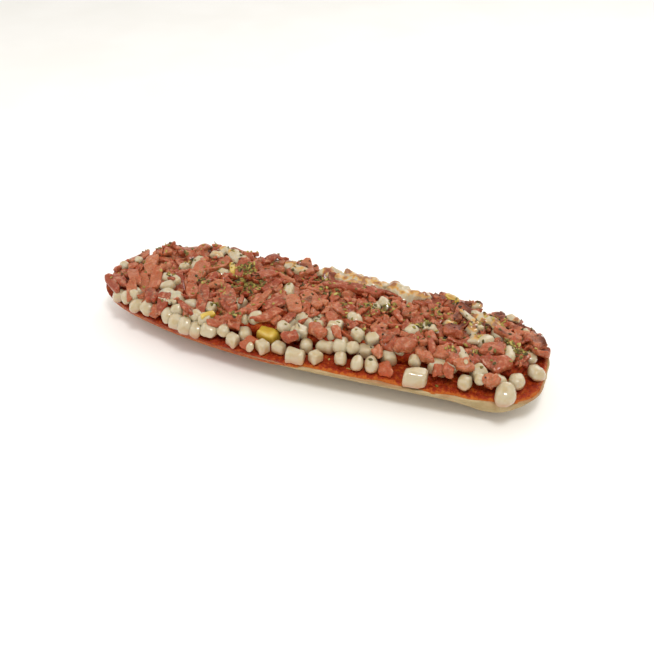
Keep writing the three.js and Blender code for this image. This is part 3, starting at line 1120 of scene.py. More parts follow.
# The front row at the far end, where the heap reaches the rim.
FRONT_ROW: tuple[Row, ...] = (
    (Cut.PELLET, -104.6, -25.2, 30, 7.6, 6.6, 6.4),
    (Cut.PELLET, -98.4, -27.2, -40, 7.2, 6, 6),
    (Cut.PELLET, -90.6, -29.2, 40, 9.6, 7, 6.6),
    (Cut.PELLET, -83.4, -31, -15, 7.8, 6.8, 6.4),
    (Cut.DICE, -76.6, -31.4, 60, 8.8, 6.8, 4.8),
    (Cut.PELLET, -70, -33.4, -50, 8, 6.4, 6.4),
    (Cut.PELLET, -63.8, -35.4, 10, 8.4, 6.8, 6.6),
    (Cut.PELLET, -58.4, -36.6, -64, 8.6, 7, 6.6),
    (Cut.PELLET, -52.4, -36.2, -70, 8.8, 6.6, 6.4),
    (Cut.PELLET, -44.6, -36.6, 10, 9, 6.8, 6.6),
    (Cut.PELLET, -37.4, -34.4, -60, 8.4, 6.4, 6.4),
)

# Pieces that show on top of the heap.
TOP_PIECES: tuple[Row, ...] = (
    (Cut.STRIP, 13, 15.4, 4, 33, 6.4, 4),
    (Cut.STRIP, -44, -15, -48, 17, 7.4, 3.4),
    (Cut.STRIP, -58, -17, -66, 19, 5.4, 3.6),
    (Cut.STRIP, -64.5, -16, -58, 13, 6.8, 4),
    (Cut.STRIP, -27.5, -13, 70, 19, 4.2, 3),
    (Cut.STRIP, -20, -12, 40, 12, 9, 3),
    (Cut.STRIP, -9.6, -9.6, -56, 15, 7.4, 3.4),
    (Cut.STRIP, 16, -17.6, -52, 20, 5, 3.6),
    (Cut.STRIP, -36, 9, 34, 16, 7, 3.4),
    (Cut.STRIP, -69, -1, -84, 20, 7, 3.6),
    (Cut.STRIP, -98, -2, -68, 17, 6.2, 3.6),
    (Cut.STRIP, -85.5, -24, -50, 15, 6, 3.6),
    (Cut.STRIP, -109.5, -22.6, -32, 14, 4.6, 3),
    (Cut.STRIP, -79.5, 24, 70, 13, 4.4, 3),
    (Cut.STRIP, -103, 23.6, 50, 13, 5.4, 3.4),
    (Cut.STRIP, -39, 28, 76, 14, 4.4, 2.8),
    (Cut.STRIP, -17.4, 26, -66, 15, 8, 3.8),
    (Cut.STRIP, 97, 8, -14, 14, 6.4, 4),
    (Cut.STRIP, 20.6, 26.6, -60, 11, 7, 3.6),
    (Cut.STRIP, 27.4, 27, -56, 16, 4, 2.8),
    (Cut.DICE, 93, -5.6, 20, 12, 9.4, 5),
    (Cut.DICE, 92.6, -14.6, -10, 9.6, 7.4, 5),
    (Cut.DICE, 81.8, -21.6, 30, 9, 7, 4.6),
    (Cut.DICE, 96.6, -26.6, 40, 7.4, 6, 4.6),
    (Cut.DICE, 71, 1, 10, 10, 8, 4.6),
    (Cut.DICE, 109.4, 10.6, -30, 11, 7.4, 4.6),
    (Cut.PELLET, -75.6, 12, 60, 8.6, 7.4, 7),
    (Cut.PELLET, -17.6, 2.6, -74, 11, 6, 6),
    (Cut.PELLET, -78, -21.6, 76, 8.6, 6.8, 6.6),
    (Cut.PELLET, -71.6, -22.4, 30, 8.6, 7.4, 7),
    (Cut.PELLET, 22, -7, 10, 7.4, 5.6, 5.4),
    (Cut.PELLET, 52, -7, 70, 8, 6.4, 6),
    (Cut.PELLET, 87.6, 0.6, 60, 9.6, 7, 6.4),
    (Cut.PELLET, 100.6, -5, -76, 10.4, 5.6, 5.6),
    (Cut.STRAND, 78, 11.4, -40, 18, 3.4, 3),
    (Cut.STRAND, 80.4, -15.6, -58, 16, 4.6, 4),
    (Cut.YELLOW, -54.4, 10.4, -62, 13, 3.2, 2.8),
    (Cut.YELLOW, 63.4, 28.4, -24, 9, 4.6, 5),
)

# Cheese that has run together: along the back rim, where it blistered, and here and there on top.
MELTS: tuple[Row, ...] = (
    (Cut.MELT, -1.2, 31, 10, 10, 6, 5.4),
    (Cut.MELT, 7.6, 30, -30, 9, 6.4, 5.6),
    (Cut.MELT, 12.6, 30.4, 60, 7.4, 6, 6),
    (Cut.MELT, 19, 30, -10, 9, 6.4, 6),
    (Cut.MELT, 26.6, 29, 30, 7.4, 6, 5.6),
    (Cut.MELT, 33.4, 29.4, -20, 9, 6.6, 6),
    (Cut.MELT, 39.4, 28.4, 40, 8, 6, 5.6),
    (Cut.MELT, 46.4, 26.6, -20, 8.6, 5.6, 5),
    (Cut.MELT, 51, 24.6, 10, 7, 5, 4.6),
    (Cut.MELT, -5, 25.6, -20, 12, 7, 4),
    (Cut.MELT, 5.6, 25.4, 10, 13, 7, 4),
    (Cut.MELT, 14.4, 25, -10, 12, 8, 4),
    (Cut.MELT, 22, 25, 10, 10, 7, 3.6),
    (Cut.MELT, 11, 20.8, 0, 9, 4.6, 3.4),
    (Cut.MELT, 19.4, 20, -10, 8.6, 4, 3.2),
    (Cut.MELT, 34.4, 24.4, -20, 11, 7, 4),
    (Cut.MELT, 39.6, 21.8, -40, 9, 6, 3.8),
    (Cut.MELT, 46, 22.4, 0, 8, 5, 3.4),
    (Cut.MELT, -66.6, 27.4, 20, 8, 6, 5.4),
    (Cut.MELT, -59, 24.4, -30, 14, 8.4, 4),
    (Cut.MELT, -70, 20.4, 10, 9, 5.4, 4),
    (Cut.MELT, -26.8, 27, 20, 8, 6.4, 6),
    (Cut.MELT, -20, 22.4, -20, 11, 6.4, 4),
    (Cut.MELT, 77, 26, -20, 6.4, 4.4, 4),
    (Cut.MELT, 84, 16, -10, 17, 8, 3.6),
    (Cut.MELT, 80, 6, 20, 8, 5.4, 3.6),
    (Cut.MELT, 96.6, 22.4, -20, 8, 5, 4.2),
    (Cut.MELT, 92, 12.6, 10, 8, 4.4, 3.2),
    (Cut.MELT, 104.6, 15, -50, 7, 4.4, 3.6),
    (Cut.MELT, 83.4, 0.4, 10, 10, 7.4, 4.4),
    (Cut.MELT, 59.4, -1, -10, 9, 5.4, 3.6),
    (Cut.MELT, 33, 9.6, -10, 7.4, 4.4, 3),
    (Cut.MELT, 24, -8.4, 0, 7, 5, 4),
    (Cut.MELT, 0, -17, -30, 12, 6.6, 5),
)


# Ham draped over the cheese towards the front, and cheese that shows between it.
DRAPED: tuple[Row, ...] = (
    (Cut.STRIP, -40.4, -31.6, 44, 14, 5.0, 2.2),
    (Cut.STRIP, -26, 1.6, 64, 14, 5.0, 2.4),
    (Cut.STRIP, -30, -20.6, 58, 19, 3.9, 2.2),
    (Cut.STRIP, -56, -20.6, -72, 21, 5.8, 2.6),
    (Cut.STRIP, -41.6, -19.6, -44, 17, 7.6, 2.6),
    (Cut.STRIP, -19.6, -21.6, 48, 15, 7.6, 2.6),
    (Cut.STRIP, -8.4, -22.6, 62, 11, 5.4, 2.4),
    (Cut.STRIP, -2, -3, -34, 15, 7.1, 2.7),
    (Cut.STRIP, -89, -12, -70, 18, 6.5, 2.7),
    (Cut.STRIP, -101, -14, -50, 15, 6.5, 2.6),
    (Cut.STRIP, -107, -19.6, -36, 13, 4.8, 2.4),
    (Cut.STRIP, -96.4, -24, -62, 12, 5.4, 2.6),
    (Cut.STRIP, -83, -25.6, -40, 13, 5, 2.6),
    (Cut.STRIP, -74.6, -29, -76, 12, 6, 2.8),
    (Cut.STRIP, -61.4, -29.4, -30, 12, 4.6, 2.4),
    (Cut.DICE, -34, -27.6, 10, 8.4, 6.4, 4.4),
    (Cut.PELLET, -24.4, -23.6, 40, 7.8, 6.2, 6.2),
    (Cut.PELLET, -8.4, -25.4, -30, 7.8, 6.4, 6.4),
    (Cut.CUBE, 0.4, -24.4, 10, 7.4, 6, 6),
    (Cut.PELLET, 7, -18.4, 60, 7.6, 6, 6),
    (Cut.DICE, -3, -31, 20, 8, 6.4, 4.6),
    (Cut.DICE, 8.6, -22.6, -30, 9, 7, 4.6),
    (Cut.DICE, 52.6, -18.6, 10, 10, 8, 4.8),
    (Cut.DICE, 40, -15, -20, 11, 8, 4.8),
    (Cut.PELLET, -77.4, -20.6, 76, 9.4, 7.4, 7),
    (Cut.PELLET, -70.6, -22.6, 30, 9, 7.8, 7),
    (Cut.PELLET, -83.4, -9.2, 10, 6.4, 5.4, 5.4),
    (Cut.PELLET, -78, -9.6, -20, 6, 5.4, 5.4),
    (Cut.PELLET, -80.4, -14.6, 40, 8, 6, 6),
    (Cut.PELLET, -73.6, 7.6, 20, 9, 7.8, 7),
    (Cut.PELLET, -80.4, 3.6, 0, 6, 5, 5),
    (Cut.PELLET, -113, -5.6, 60, 5.4, 5, 5),
    (Cut.PELLET, -108, 1.6, 0, 5, 4.6, 4.4),
    (Cut.PELLET, -93.6, -26.6, 0, 6, 5.4, 5),
    (Cut.PELLET, -66, -30.6, 20, 7.4, 6, 6),
    (Cut.PELLET, -54.4, -31, -30, 7.4, 6.2, 6),
    (Cut.CUBE, -48.4, -32.6, 20, 6.6, 6, 5.6),
    (Cut.CUBE, 15.6, -16.6, 20, 8, 6, 6),
    (Cut.CUBE, 28, -18.4, -20, 7, 6.4, 6),
    (Cut.CUBE, 36, -18, 30, 7.4, 6, 6),
    (Cut.PELLET, -20.4, -40.2, 50, 4.4, 3.4, 3.4),
    (Cut.YELLOW, -47.6, -31.8, 50, 8, 3.2, 2.8),
)

# A wavy row of crumbs of grated cheese on the sauce at the far end: where it starts, how far apart
# they lie, how far they stray, and their size.
CRUMB_START = (-77, -28.4)
CRUMB_STEP = 1.5
CRUMB_SWAY = 0.5
CRUMB_SIZE = (2.2, 2, 2)
CRUMBS: tuple[Row, ...] = tuple(
    (
        Cut.CUBE,
        CRUMB_START[0] + CRUMB_STEP * i,
        CRUMB_START[1] + CRUMB_SWAY * math.sin(3.1 * i),
        37 * i,
        *CRUMB_SIZE,
    )
    for i in range(8)
)


# The usual length, width and height of each cut.
PIECE_SIZES: dict[Cut, tuple[float, float, float]] = {
    Cut.STRIP: (17, 6.4, 3.4),
    Cut.DICE: (8.8, 7.2, 4.6),
    Cut.PELLET: (8.2, 7, 6.8),
    Cut.CUBE: (6.8, 6.4, 6),
    Cut.SCRAP: (5.4, 4.2, 3),
    Cut.SHRED: (9, 2.8, 2),
}


def sized(cut: Cut, scale: float) -> tuple[float, ...]:
    """Gives the length, width and height of a cut at a scale."""
    return tuple(size * scale for size in PIECE_SIZES[cut])


@dataclass(frozen=True)
class HeapPlan:
    """The rule that fills the heap: where, with what, and how full.

    Most strips point along grain, give or take grain_spread. Ham is cut in strips up to lumps_from
    and mostly in shorter, wider lumps beyond it. The shares of ham are those at the far end, at the
    far end's front, along the front, where the cheese runs together, near, and elsewhere, and the
    limits under them tell where each of these places is.
    """

    seed: int = 20262
    attempts: int = 9000
    grain: float = -52.0
    grain_spread: float = 50.0
    size_range: tuple[float, float] = (0.86, 1.14)
    room: float = 0.8
    back_inset: float = 2.6
    corner_inset: float = 4.0
    corner_from: float = 100.0
    front_insets: tuple[float, float] = (4.0, 12.5)
    front_widening: float = 0.16
    front_widens_from: float = -62.0
    farthest_share: float = 0.98
    ham_far: float = 0.84
    ham_far_front: float = 0.35
    ham_front: float = 0.2
    ham_melt: float = 0.2
    ham_near: float = 0.9
    ham_elsewhere: float = 0.74
    far_end: float = -86.0
    far_front: float = -20.0
    front: float = -17.0
    near_from: float = 5.0
    melt_ham: tuple[float, float, float] = (-14.0, 50.0, 21.0)
    melt_zone: tuple[float, float, float] = (-12.0, 53.0, 20.5)
    stub_share: float = 0.62
    lumps_from: float = 8.0
    strip_shares: tuple[float, float] = (0.72, 0.36)
    lump_stretch: tuple[float, float] = (0.62, 1.2)

    def inset(self, x: float, y: float) -> float:
        """Tells how far in from the rim the heap stops."""
        if y > 0:
            return self.corner_inset if x > self.corner_from else self.back_inset
        least, most = self.front_insets
        return clamp(least + self.front_widening * (x - self.front_widens_from), least, most)

    def ham_share(self, x: float, y: float) -> float:
        """Gives the share of ham among the toppings at a place."""
        if x < self.far_end:
            return self.ham_far_front if y < self.far_front else self.ham_far
        if y < self.front:
            return self.ham_front
        start, end, front = self.melt_ham
        if y > front and start < x < end:
            return self.ham_melt
        return self.ham_near if x > self.near_from else self.ham_elsewhere

    def draw_cut(self, random: Random, x: float, y: float) -> Cut:
        """Draws the cut of a piece at a place."""
        sort = random()
        if random() > self.ham_share(x, y):
            return Cut.PELLET if sort < self.stub_share else Cut.CUBE
        strips, strips_beyond = self.strip_shares
        return Cut.STRIP if sort < (strips if x < self.lumps_from else strips_beyond) else Cut.DICE

    def draw_piece(self, random: Random) -> Piece:
        """Draws a piece and the place where it is dropped.

        Args:
            random: Where the draws come from.

        Returns:
            The piece, not yet settled.
        """
        x = between(random, -HALF_LENGTH, HALF_LENGTH)
        y = between(random, -HALF_WIDTH - OUTLINE.bulge, HALF_WIDTH)
        turn = between(random, -self.grain_spread, self.grain_spread)
        turn += between(random, -self.grain_spread, self.grain_spread)
        cut = self.draw_cut(random, x, y)
        length, width, height = sized(cut, between(random, *self.size_range))
        if cut is Cut.STRIP and x > self.lumps_from:
            shorter, wider = self.lump_stretch
            length, width = shorter * length, wider * width
        return Piece(cut, x, y, self.grain + turn, length, width, height)

    def melts(self, piece: Piece) -> bool:
        """Tells whether a piece lies along the back rim where the cheese ran together."""
        start, end, front = self.melt_zone
        return piece.y > front and start < piece.x < end

    def fits(self, piece: Piece) -> bool:
        """Tells whether a piece stays on the heap and within the rim."""
        x, y = piece.x, piece.y
        if self.melts(piece) and piece.cut in HAM_CUTS:
            return False
        ends = [OUTLINE.share(*piece.at(end * piece.length, 0)) for end in (-0.5, 0.5)]
        return OUTLINE.share(x, y, self.inset(x, y)) <= 1 and max(ends) <= self.farthest_share

    def fill(self, ground: Ground) -> None:
        """Drops pieces where one more still fits under the heap's crown.

        Args:
            ground: The height map that they come to rest on.
        """
        random = stream(self.seed)
        for _ in range(self.attempts):
            piece = self.draw_piece(random)
            if not self.fits(piece):
                continue
            top = ground.support(piece.x, piece.y, 2) + self.room * piece.height
            if top < crown_height(piece.x, piece.y):
                ground.lay(piece)


@dataclass(frozen=True)
class ScrapFill:
    """The rule that drops small bits of ham in what hollows are left, most towards the near end."""

    seed: int = 515
    attempts: int = 4200
    scrap_share: float = 0.7
    size_range: tuple[float, float] = (0.7, 1.3)
    least_chance: float = 0.25
    thickens: tuple[float, float] = (-30.0, 20.0)
    front_limit: float = -16.0
    room: float = 0.8
    proud: float = 1.6

    def fill(self, ground: Ground, plan: HeapPlan) -> None:
        """Drops the scraps.

        Args:
            ground: The height map that they come to rest on.
            plan: The heap's own rule, for where things fit.
        """
        random = stream(self.seed)
        for _ in range(self.attempts):
            x = between(random, -HALF_LENGTH, HALF_LENGTH)
            y = between(random, -HALF_WIDTH, HALF_WIDTH)
            cut = Cut.SCRAP if random() < self.scrap_share else Cut.SHRED
            scale = between(random, *self.size_range)
            heading = between(random, -180, 180)
            piece = Piece(cut, x, y, heading, *sized(cut, scale))
            thicker = float(smoothstep(*self.thickens, np.array(x)))
            chance = self.least_chance + (1 - self.least_chance) * thicker
            if random() > chance or y < self.front_limit or not plan.fits(piece):
                continue
            top = ground.support(x, y, 1) + self.room * piece.height
            if top < crown_height(x, y) + self.proud:
                ground.lay(piece)


@dataclass(frozen=True)
class FrontFill:
    """The rule that drops small cheese and scraps of ham in the gaps behind the front row."""

    seed: int = 88
    attempts: int = 1800
    along: tuple[float, float] = (-96.0, 98.0)
    across: tuple[float, float] = (-36.0, -10.0)
    front_limits: tuple[float, float] = (-33.0, -26.0)
    cheese_share: float = 0.4
    size_range: tuple[float, float] = (0.65, 1.0)
    scrap_scale: float = 1.5
    farthest_share: float = 0.92
    fill_height: float = 4.2
    yellow_x: float = -16.0
    yellow_room: float = 9.0
    yellow_back: float = -22.0

    def beside_yellow(self, x: float, y: float) -> bool:
        """Tells whether a place is so near the yellow lump that a piece would hide it."""
        return abs(x - self.yellow_x) < self.yellow_room and y < self.yellow_back

    def fill(self, ground: Ground) -> None:
        """Drops the pieces.

        Args:
            ground: The height map that they come to rest on.
        """
        random = stream(self.seed)
        for _ in range(self.attempts):
            x = between(random, *self.along)
            y = between(random, *self.across)
            cut = Cut.PELLET if random() < self.cheese_share else Cut.SCRAP
            scale = between(random, *self.size_range)
            if cut is Cut.SCRAP:
                scale *= self.scrap_scale
            piece = Piece(cut, x, y, between(random, -180, 180), *sized(cut, scale))
            far_limit, near_limit = self.front_limits
            bare = y < (far_limit if x < 0 else near_limit) or self.beside_yellow(x, y)
            if bare or OUTLINE.share(x, y) > self.farthest_share:
                continue
            if ground.support(x, y, 1) < TOPPING_FLOOR + self.fill_height:
                ground.lay(piece)


# ---------------------------------------------------------------------------- the pieces' shapes


@dataclass(frozen=True)
class Oven:
    """How the oven browned the toppings: most along the back and towards the near end."""

    back: tuple[float, float] = (12.0, 31.0)
    back_along: tuple[float, float] = (-50.0, 5.0)
    back_least: float = 0.35
    near: tuple[float, float] = (52.0, 92.0)
    near_across: tuple[float, float] = (-6.0, 8.0)
    near_strength: float = 1.6
    everywhere: float = 0.1
    patch_grain: float = 5.0

    def heat(self, points: np.ndarray) -> np.ndarray:
        """Tells how hot it was.

        Args:
            points: Places, one row of x, y, z each.

        Returns:
            A share from 0 to 1 for each place.
        """
        x, y = points[:, 0], points[:, 1]
        along = self.back_least + (1 - self.back_least) * smoothstep(*self.back_along, x)
        back = smoothstep(*self.back, y) * along
        near = self.near_strength * smoothstep(*self.near, x) * smoothstep(*self.near_across, y)
        return np.clip(np.maximum(back, near) + self.everywhere, 0, 1)

    def browning(self, points: np.ndarray, facing: np.ndarray, ease: float) -> np.ndarray:
        """Tells how browned the toppings are, in patches and on what faces up.

        Args:
            points: Places, one row of x, y, z each.
            facing: How far up each faces, from -1 to 1.
            ease: How easily the piece browns.

        Returns:
            A share from 0 to 1 for each place.
        """
        patches = smoothstep(-0.35, 0.75, layered_noise(points, self.patch_grain, 2, 11))
        return np.clip(ease * self.heat(points) * smoothstep(0.1, 0.9, facing) * patches, 0, 1)


OVEN = Oven()


@dataclass(frozen=True)
class Shape:
    """How a piece's block is rounded, bent, knocked about and set down.

    The radius is a share of the least half size. Skew, taper, tips and slump are shares too, relief
    and lift are in millimetres, and twist is in radians.
    """

    radius: float = 0.9
    cells: tuple[int, int, int] = (6, 3, 1)
    relief: float = 0.3
    relief_grain: float = 3.0
    skew: float = 0.4
    taper: float = 0.2
    tips: float = 0.0
    bow: float = 0.0
    curl: float = 0.0
    twist: float = 0.0
    lift: float = 0.0
    slump: float = 0.0

    def block(self, piece: Piece, random: Random) -> tuple[np.ndarray, np.ndarray, np.ndarray]:
        """Shapes the piece along X around the origin.

        Args:
            piece: The piece, for its size.
            random: Where its own irregularities are drawn from.

        Returns:
            The corners, the direction that the skin faces at each, and the faces.
        """
        half = np.array([piece.length, piece.width, piece.height]) / 2
        points, outward, faces = rounded_block(half, self.radius * min(half), self.cells)
        start = points + 100.0 * random()
        push = [layered_noise(start, self.relief_grain, 2, seed) for seed in (60, 70, 80)]
        points = points + self.relief * np.column_stack(push)
        u, w = points[:, 0] / half[0], points[:, 2] / half[2]
        tip = np.where(u > 0, between(random, 0.2, 1), between(random, 0.2, 1)) * self.tips
        points[:, 0] += between(random, -self.skew, self.skew) * points[:, 1] * np.abs(u) ** 2
        points[:, 1] *= (1 + between(random, -self.taper, self.taper) * u) * (1 - tip * np.abs(u) ** 3)
        points[:, :2] *= (1 - self.slump * w)[:, None]
        points[:, 1] += between(random, -self.bow, self.bow) * piece.length * (u**2 - 0.3)
        points[:, 2] += between(random, -self.curl, self.curl) * points[:, 1] ** 2
        points[:, 2] += between(random, -0.2, 1) * self.lift * u**2
        turn = between(random, -self.twist, self.twist) * u
        c, s = np.cos(turn), np.sin(turn)
        y, z = points[:, 1].copy(), points[:, 2].copy()
        points[:, 1], points[:, 2] = c * y - s * z, s * y + c * z
        return points, outward, faces

    def drape(self, piece: Piece, points: np.ndarray) -> np.ndarray:
        """Bends a soft piece to lie along its beds."""
        curve = np.polyfit(np.array(STATIONS) * piece.length, piece.beds, 3)
        s, t, rise = points.T
        c, d = piece.along
        bed = np.polyval(curve, np.clip(s, -piece.length / 2, piece.length / 2))
        height = bed + piece.roll * t + rise + piece.height / 2
        return np.stack([piece.x + s * c - t * d, piece.y + s * d + t * c, height], axis=1)

    def stand(self, piece: Piece, points: np.ndarray) -> np.ndarray:
        """Tilts a stiff piece and sets it down where it settled."""
        slope = (piece.beds[4] - piece.beds[0]) / piece.length
        c, d = piece.along
        along = Vector((c, d, slope)).normalized()
        across = Vector((-d, c, piece.roll))
        up = along.cross(across).normalized()
        across = up.cross(along)
        centre = np.array([piece.x, piece.y, piece.bed(0) + piece.height / 2])
        return points @ np.array([along, across, up]) + centre


SHAPES: dict[Cut, Shape] = {
    Cut.STRIP: Shape(
        radius=0.6, cells=(12, 4, 1), relief=0.5, relief_grain=4.4, skew=0.5, taper=0.3, tips=0.6,
        bow=0.05, curl=0.03, twist=0.3, lift=1.0,
    ),
    Cut.DICE: Shape(
        radius=0.7, cells=(5, 4, 2), relief=1.0, relief_grain=3.0, skew=0.45, taper=0.3, tips=0.2,
        bow=0.03, curl=0.02, twist=0.3,
    ),
    Cut.SCRAP: Shape(
        radius=0.75, cells=(3, 3, 1), relief=0.8, relief_grain=2.4, skew=0.6, taper=0.3, tips=0.3,
        bow=0.05, curl=0.05, twist=0.5,
    ),
    Cut.SHRED: Shape(
        radius=0.8, cells=(6, 1, 1), relief=0.6, relief_grain=2.4, skew=0.6, taper=0.4, tips=0.4,
        bow=0.1, twist=0.6, lift=0.8,
    ),
    Cut.PELLET: Shape(
        radius=0.9, cells=(3, 2, 2), relief=0.45, relief_grain=4.0, skew=0.14, taper=0.12, tips=0.1,
        bow=0.02, slump=0.06,
    ),
    Cut.CUBE: Shape(
        radius=0.58, cells=(3, 3, 2), relief=0.42, relief_grain=3.6, skew=0.22, taper=0.12, tips=0.1,
        slump=0.07,
    ),
    Cut.STRAND: Shape(
        radius=0.9, cells=(10, 1, 1), relief=0.45, relief_grain=3.0, skew=0.2, taper=0.3, tips=0.3,
        bow=0.08, lift=0.8,
    ),
    Cut.YELLOW: Shape(
        radius=0.7, cells=(5, 2, 1), relief=0.5, relief_grain=3.6, skew=0.2, taper=0.1, tips=0.3,
        bow=0.02, slump=0.08,
    ),
    Cut.MELT: Shape(
        radius=0.95, cells=(6, 4, 1), relief=1.2, relief_grain=3.6, skew=0.3, taper=0.3, tips=0.3,
        bow=0.05, slump=0.2,
    ),
}

SOFT_CUTS = (Cut.STRIP, Cut.STRAND, Cut.SHRED, Cut.MELT)


def shaped(piece: Piece) -> tuple[np.ndarray, np.ndarray, np.ndarray]:
    """Shapes a piece where it lies.

    Args:
        piece: The piece, settled.

    Returns:
        Its corners, how far up each faces, and its faces.
    """
    random = stream(7001 + 31 * piece.number)
    shape = SHAPES[piece.cut]
    points, outward, faces = shape.block(piece, random)
    placed = shape.drape(piece, points) if piece.cut in SOFT_CUTS else shape.stand(piece, points)
    placed = sagged(np.clip(placed, LOWEST, HIGHEST))
    return placed, outward[:, 2], faces


# Toppings sag from this share of the way out, over this much further, by this many millimetres for
# a share of 1.
SAG_FROM = 0.95
SAG_REACH = 0.08
SAG_SLOPE = 18


def sagged(points: np.ndarray) -> np.ndarray:
    """Lets what reaches past the rim of the loaf sag over it.

    Args:
        points: Places, one row of x, y, z each.

    Returns:
        The places, lowered where they lie past the rim.
    """
    past = np.clip(OUTLINE.share(points[:, 0], points[:, 1]) - SAG_FROM, 0, SAG_REACH)
    return points - np.column_stack([np.zeros((len(points), 2)), SAG_SLOPE * past])


def foot_stain_and_reflection(points: np.ndarray) -> np.ndarray:
    """Tells how orange each point of the cheese is near the sauce, most at the sauce itself: sauce
    drawn up, with a painted reflection of the sauce.
    """
    ragged = 0.9 * value_noise(points, 2.5, 5)
    return 0.8 * smoothstep(SAUCE_TOP + 4.0, SAUCE_TOP - 0.3, points[:, 2] + ragged)


def sunk_stain_and_shade(points: np.ndarray) -> np.ndarray:
    """Tells how deep in the heap each point of the ham lies, as the share of sauce stain and painted
    shade that reddens it.
    """
    below = crown_height(points[:, 0], points[:, 1]) - points[:, 2]
    return 0.9 * smoothstep(1.5, 8.0, below + 1.2 * value_noise(points, 4.0, 6))


# ---------------------------------------------------------------------------- bread and sauce


@dataclass(frozen=True)
class Loaf:
    """The half baguette: a flat cut face over a round, pale crust with a flat spot under it."""

    crust_depth: float = 18.0
    roundness: float = 2.2
    flat_inset: float = 17.4
    slope: float = 0.46
    blunt_slope: float = -0.08
    blunt_corner: tuple[float, float] = (102.0, -28.0)
    blunt_spread: float = 14.0
    around: int = 760
    swell: float = 0.3
    swell_grain: float = 26.0
    crumb_relief: float = 0.3
    crumb_grain: float = 4.0
    stain_grain: float = 7.0
    edge_radius: float = 0.7

    def crust_slope(self, angles: np.ndarray) -> np.ndarray:
        """Tells how much further in the crust lies for each millimetre down, at each angle."""
        rim = OUTLINE.ring(angles, 0)
        away = np.linalg.norm(rim - np.array(self.blunt_corner), axis=1) / self.blunt_spread
        return self.slope + (self.blunt_slope - self.slope) * np.exp(-(away**2))

    def crust_height(self, inset: np.ndarray) -> np.ndarray:
        """Gives the height of the crust at a distance in from the rim."""
        out = 1 - inset / HALF_WIDTH
        fall = (1 - out**self.roundness) ** (1 / self.roundness)
        return np.maximum(0, BREAD_HEIGHT - self.crust_depth * fall)

    def profile(self) -> list[tuple[float, float]]:
        """Gives inset and height of each ring, from the underside over the rim to the cut face."""
        insets = self.flat_inset * (1 - np.linspace(0, 1, 26) ** 1.5)
        heights = np.minimum(self.crust_height(insets), BREAD_HEIGHT - self.edge_radius)
        heights[0] = 0
        turns = np.linspace(0, math.pi / 2, 4)[1:]
        edge_insets = self.edge_radius * (1 - np.cos(turns))
        edge_heights = BREAD_HEIGHT - self.edge_radius * (1 - np.sin(turns))
        face = [(inset, BREAD_HEIGHT) for inset in (1.2, 1.8, 2.6, 4, 8)]
        return [*zip(insets, heights), *zip(edge_insets, edge_heights), *face]

    def worn(self, points: np.ndarray, insets: np.ndarray) -> np.ndarray:
        """Tells how far inwards each point is set: slow swells in the crust, pores in the crumb.

        Args:
            points: The smooth loaf's corners.
            insets: How far in from the rim each lies.

        Returns:
            A distance in millimetres for each corner.
        """
        relief = self.swell * layered_noise(points, self.swell_grain, 2, 3)
        relief += self.crumb_relief * layered_noise(points, self.crumb_grain, 3, 4)
        return (0.3 + 0.6 * np.maximum(relief, -0.5)) * smoothstep(16, 8, insets)

    def painted_underside_shade(self, points: np.ndarray) -> np.ndarray:
        """Tells how much painted shade there is at each point, most low on the crust, from none at the
        cut face.
        """
        return 0.8 * smoothstep(BREAD_HEIGHT - 5, 3, points[:, 2])

    def stained(self, points: np.ndarray) -> np.ndarray:
        """Tells how much oil has soaked in: in patches at the rim, and all down the far front side.

        Args:
            points: The loaf's corners.

        Returns:
            A share from 0 to 1 for each corner.
        """
        x, y, z = points.T
        patches = smoothstep(-0.4, 0.5, value_noise(points, self.stain_grain, 9))
        rim = 0.45 * patches * smoothstep(BREAD_HEIGHT - 1.6, BREAD_HEIGHT, z)
        dipped = smoothstep(-6, -34, x) * smoothstep(0, -10, y)
        side = (0.7 + 0.3 * patches) * dipped * smoothstep(2, 7, z)
        return np.maximum(rim, side)

    def build(self) -> bpy.types.Object:
        """Builds the bread in place of its node.

        Returns:
            The piece.
        """
        angles = OUTLINE.even_angles(self.around)
        slope = self.crust_slope(angles)
        rings = []
        for inset, height in self.profile():
            plan = OUTLINE.ring(angles, inset + slope * (BREAD_HEIGHT - height))
            rings.append(np.column_stack([plan, np.full(self.around, height)]))
        points, faces = rings_to_skin(rings)
        insets = np.repeat([inset for inset, _ in self.profile()], self.around)
        outward = points * [1 / HALF_LENGTH**2, 1 / HALF_WIDTH**2, 0]
        outward /= np.linalg.norm(outward, axis=1, keepdims=True) + 1e-9
        points = points - outward * self.worn(points, insets)[:, None]
        skin = Skin()
        # The crust trait is painted shade, darker low on the underside; the stain is oil from the
        # sauce.
        skin.add(points, faces, crust=self.painted_underside_shade(points), stain=self.stained(points))
        return skin.make("bread_crumb_and_crust", PaleBakedBread(), BREAD_NODE)


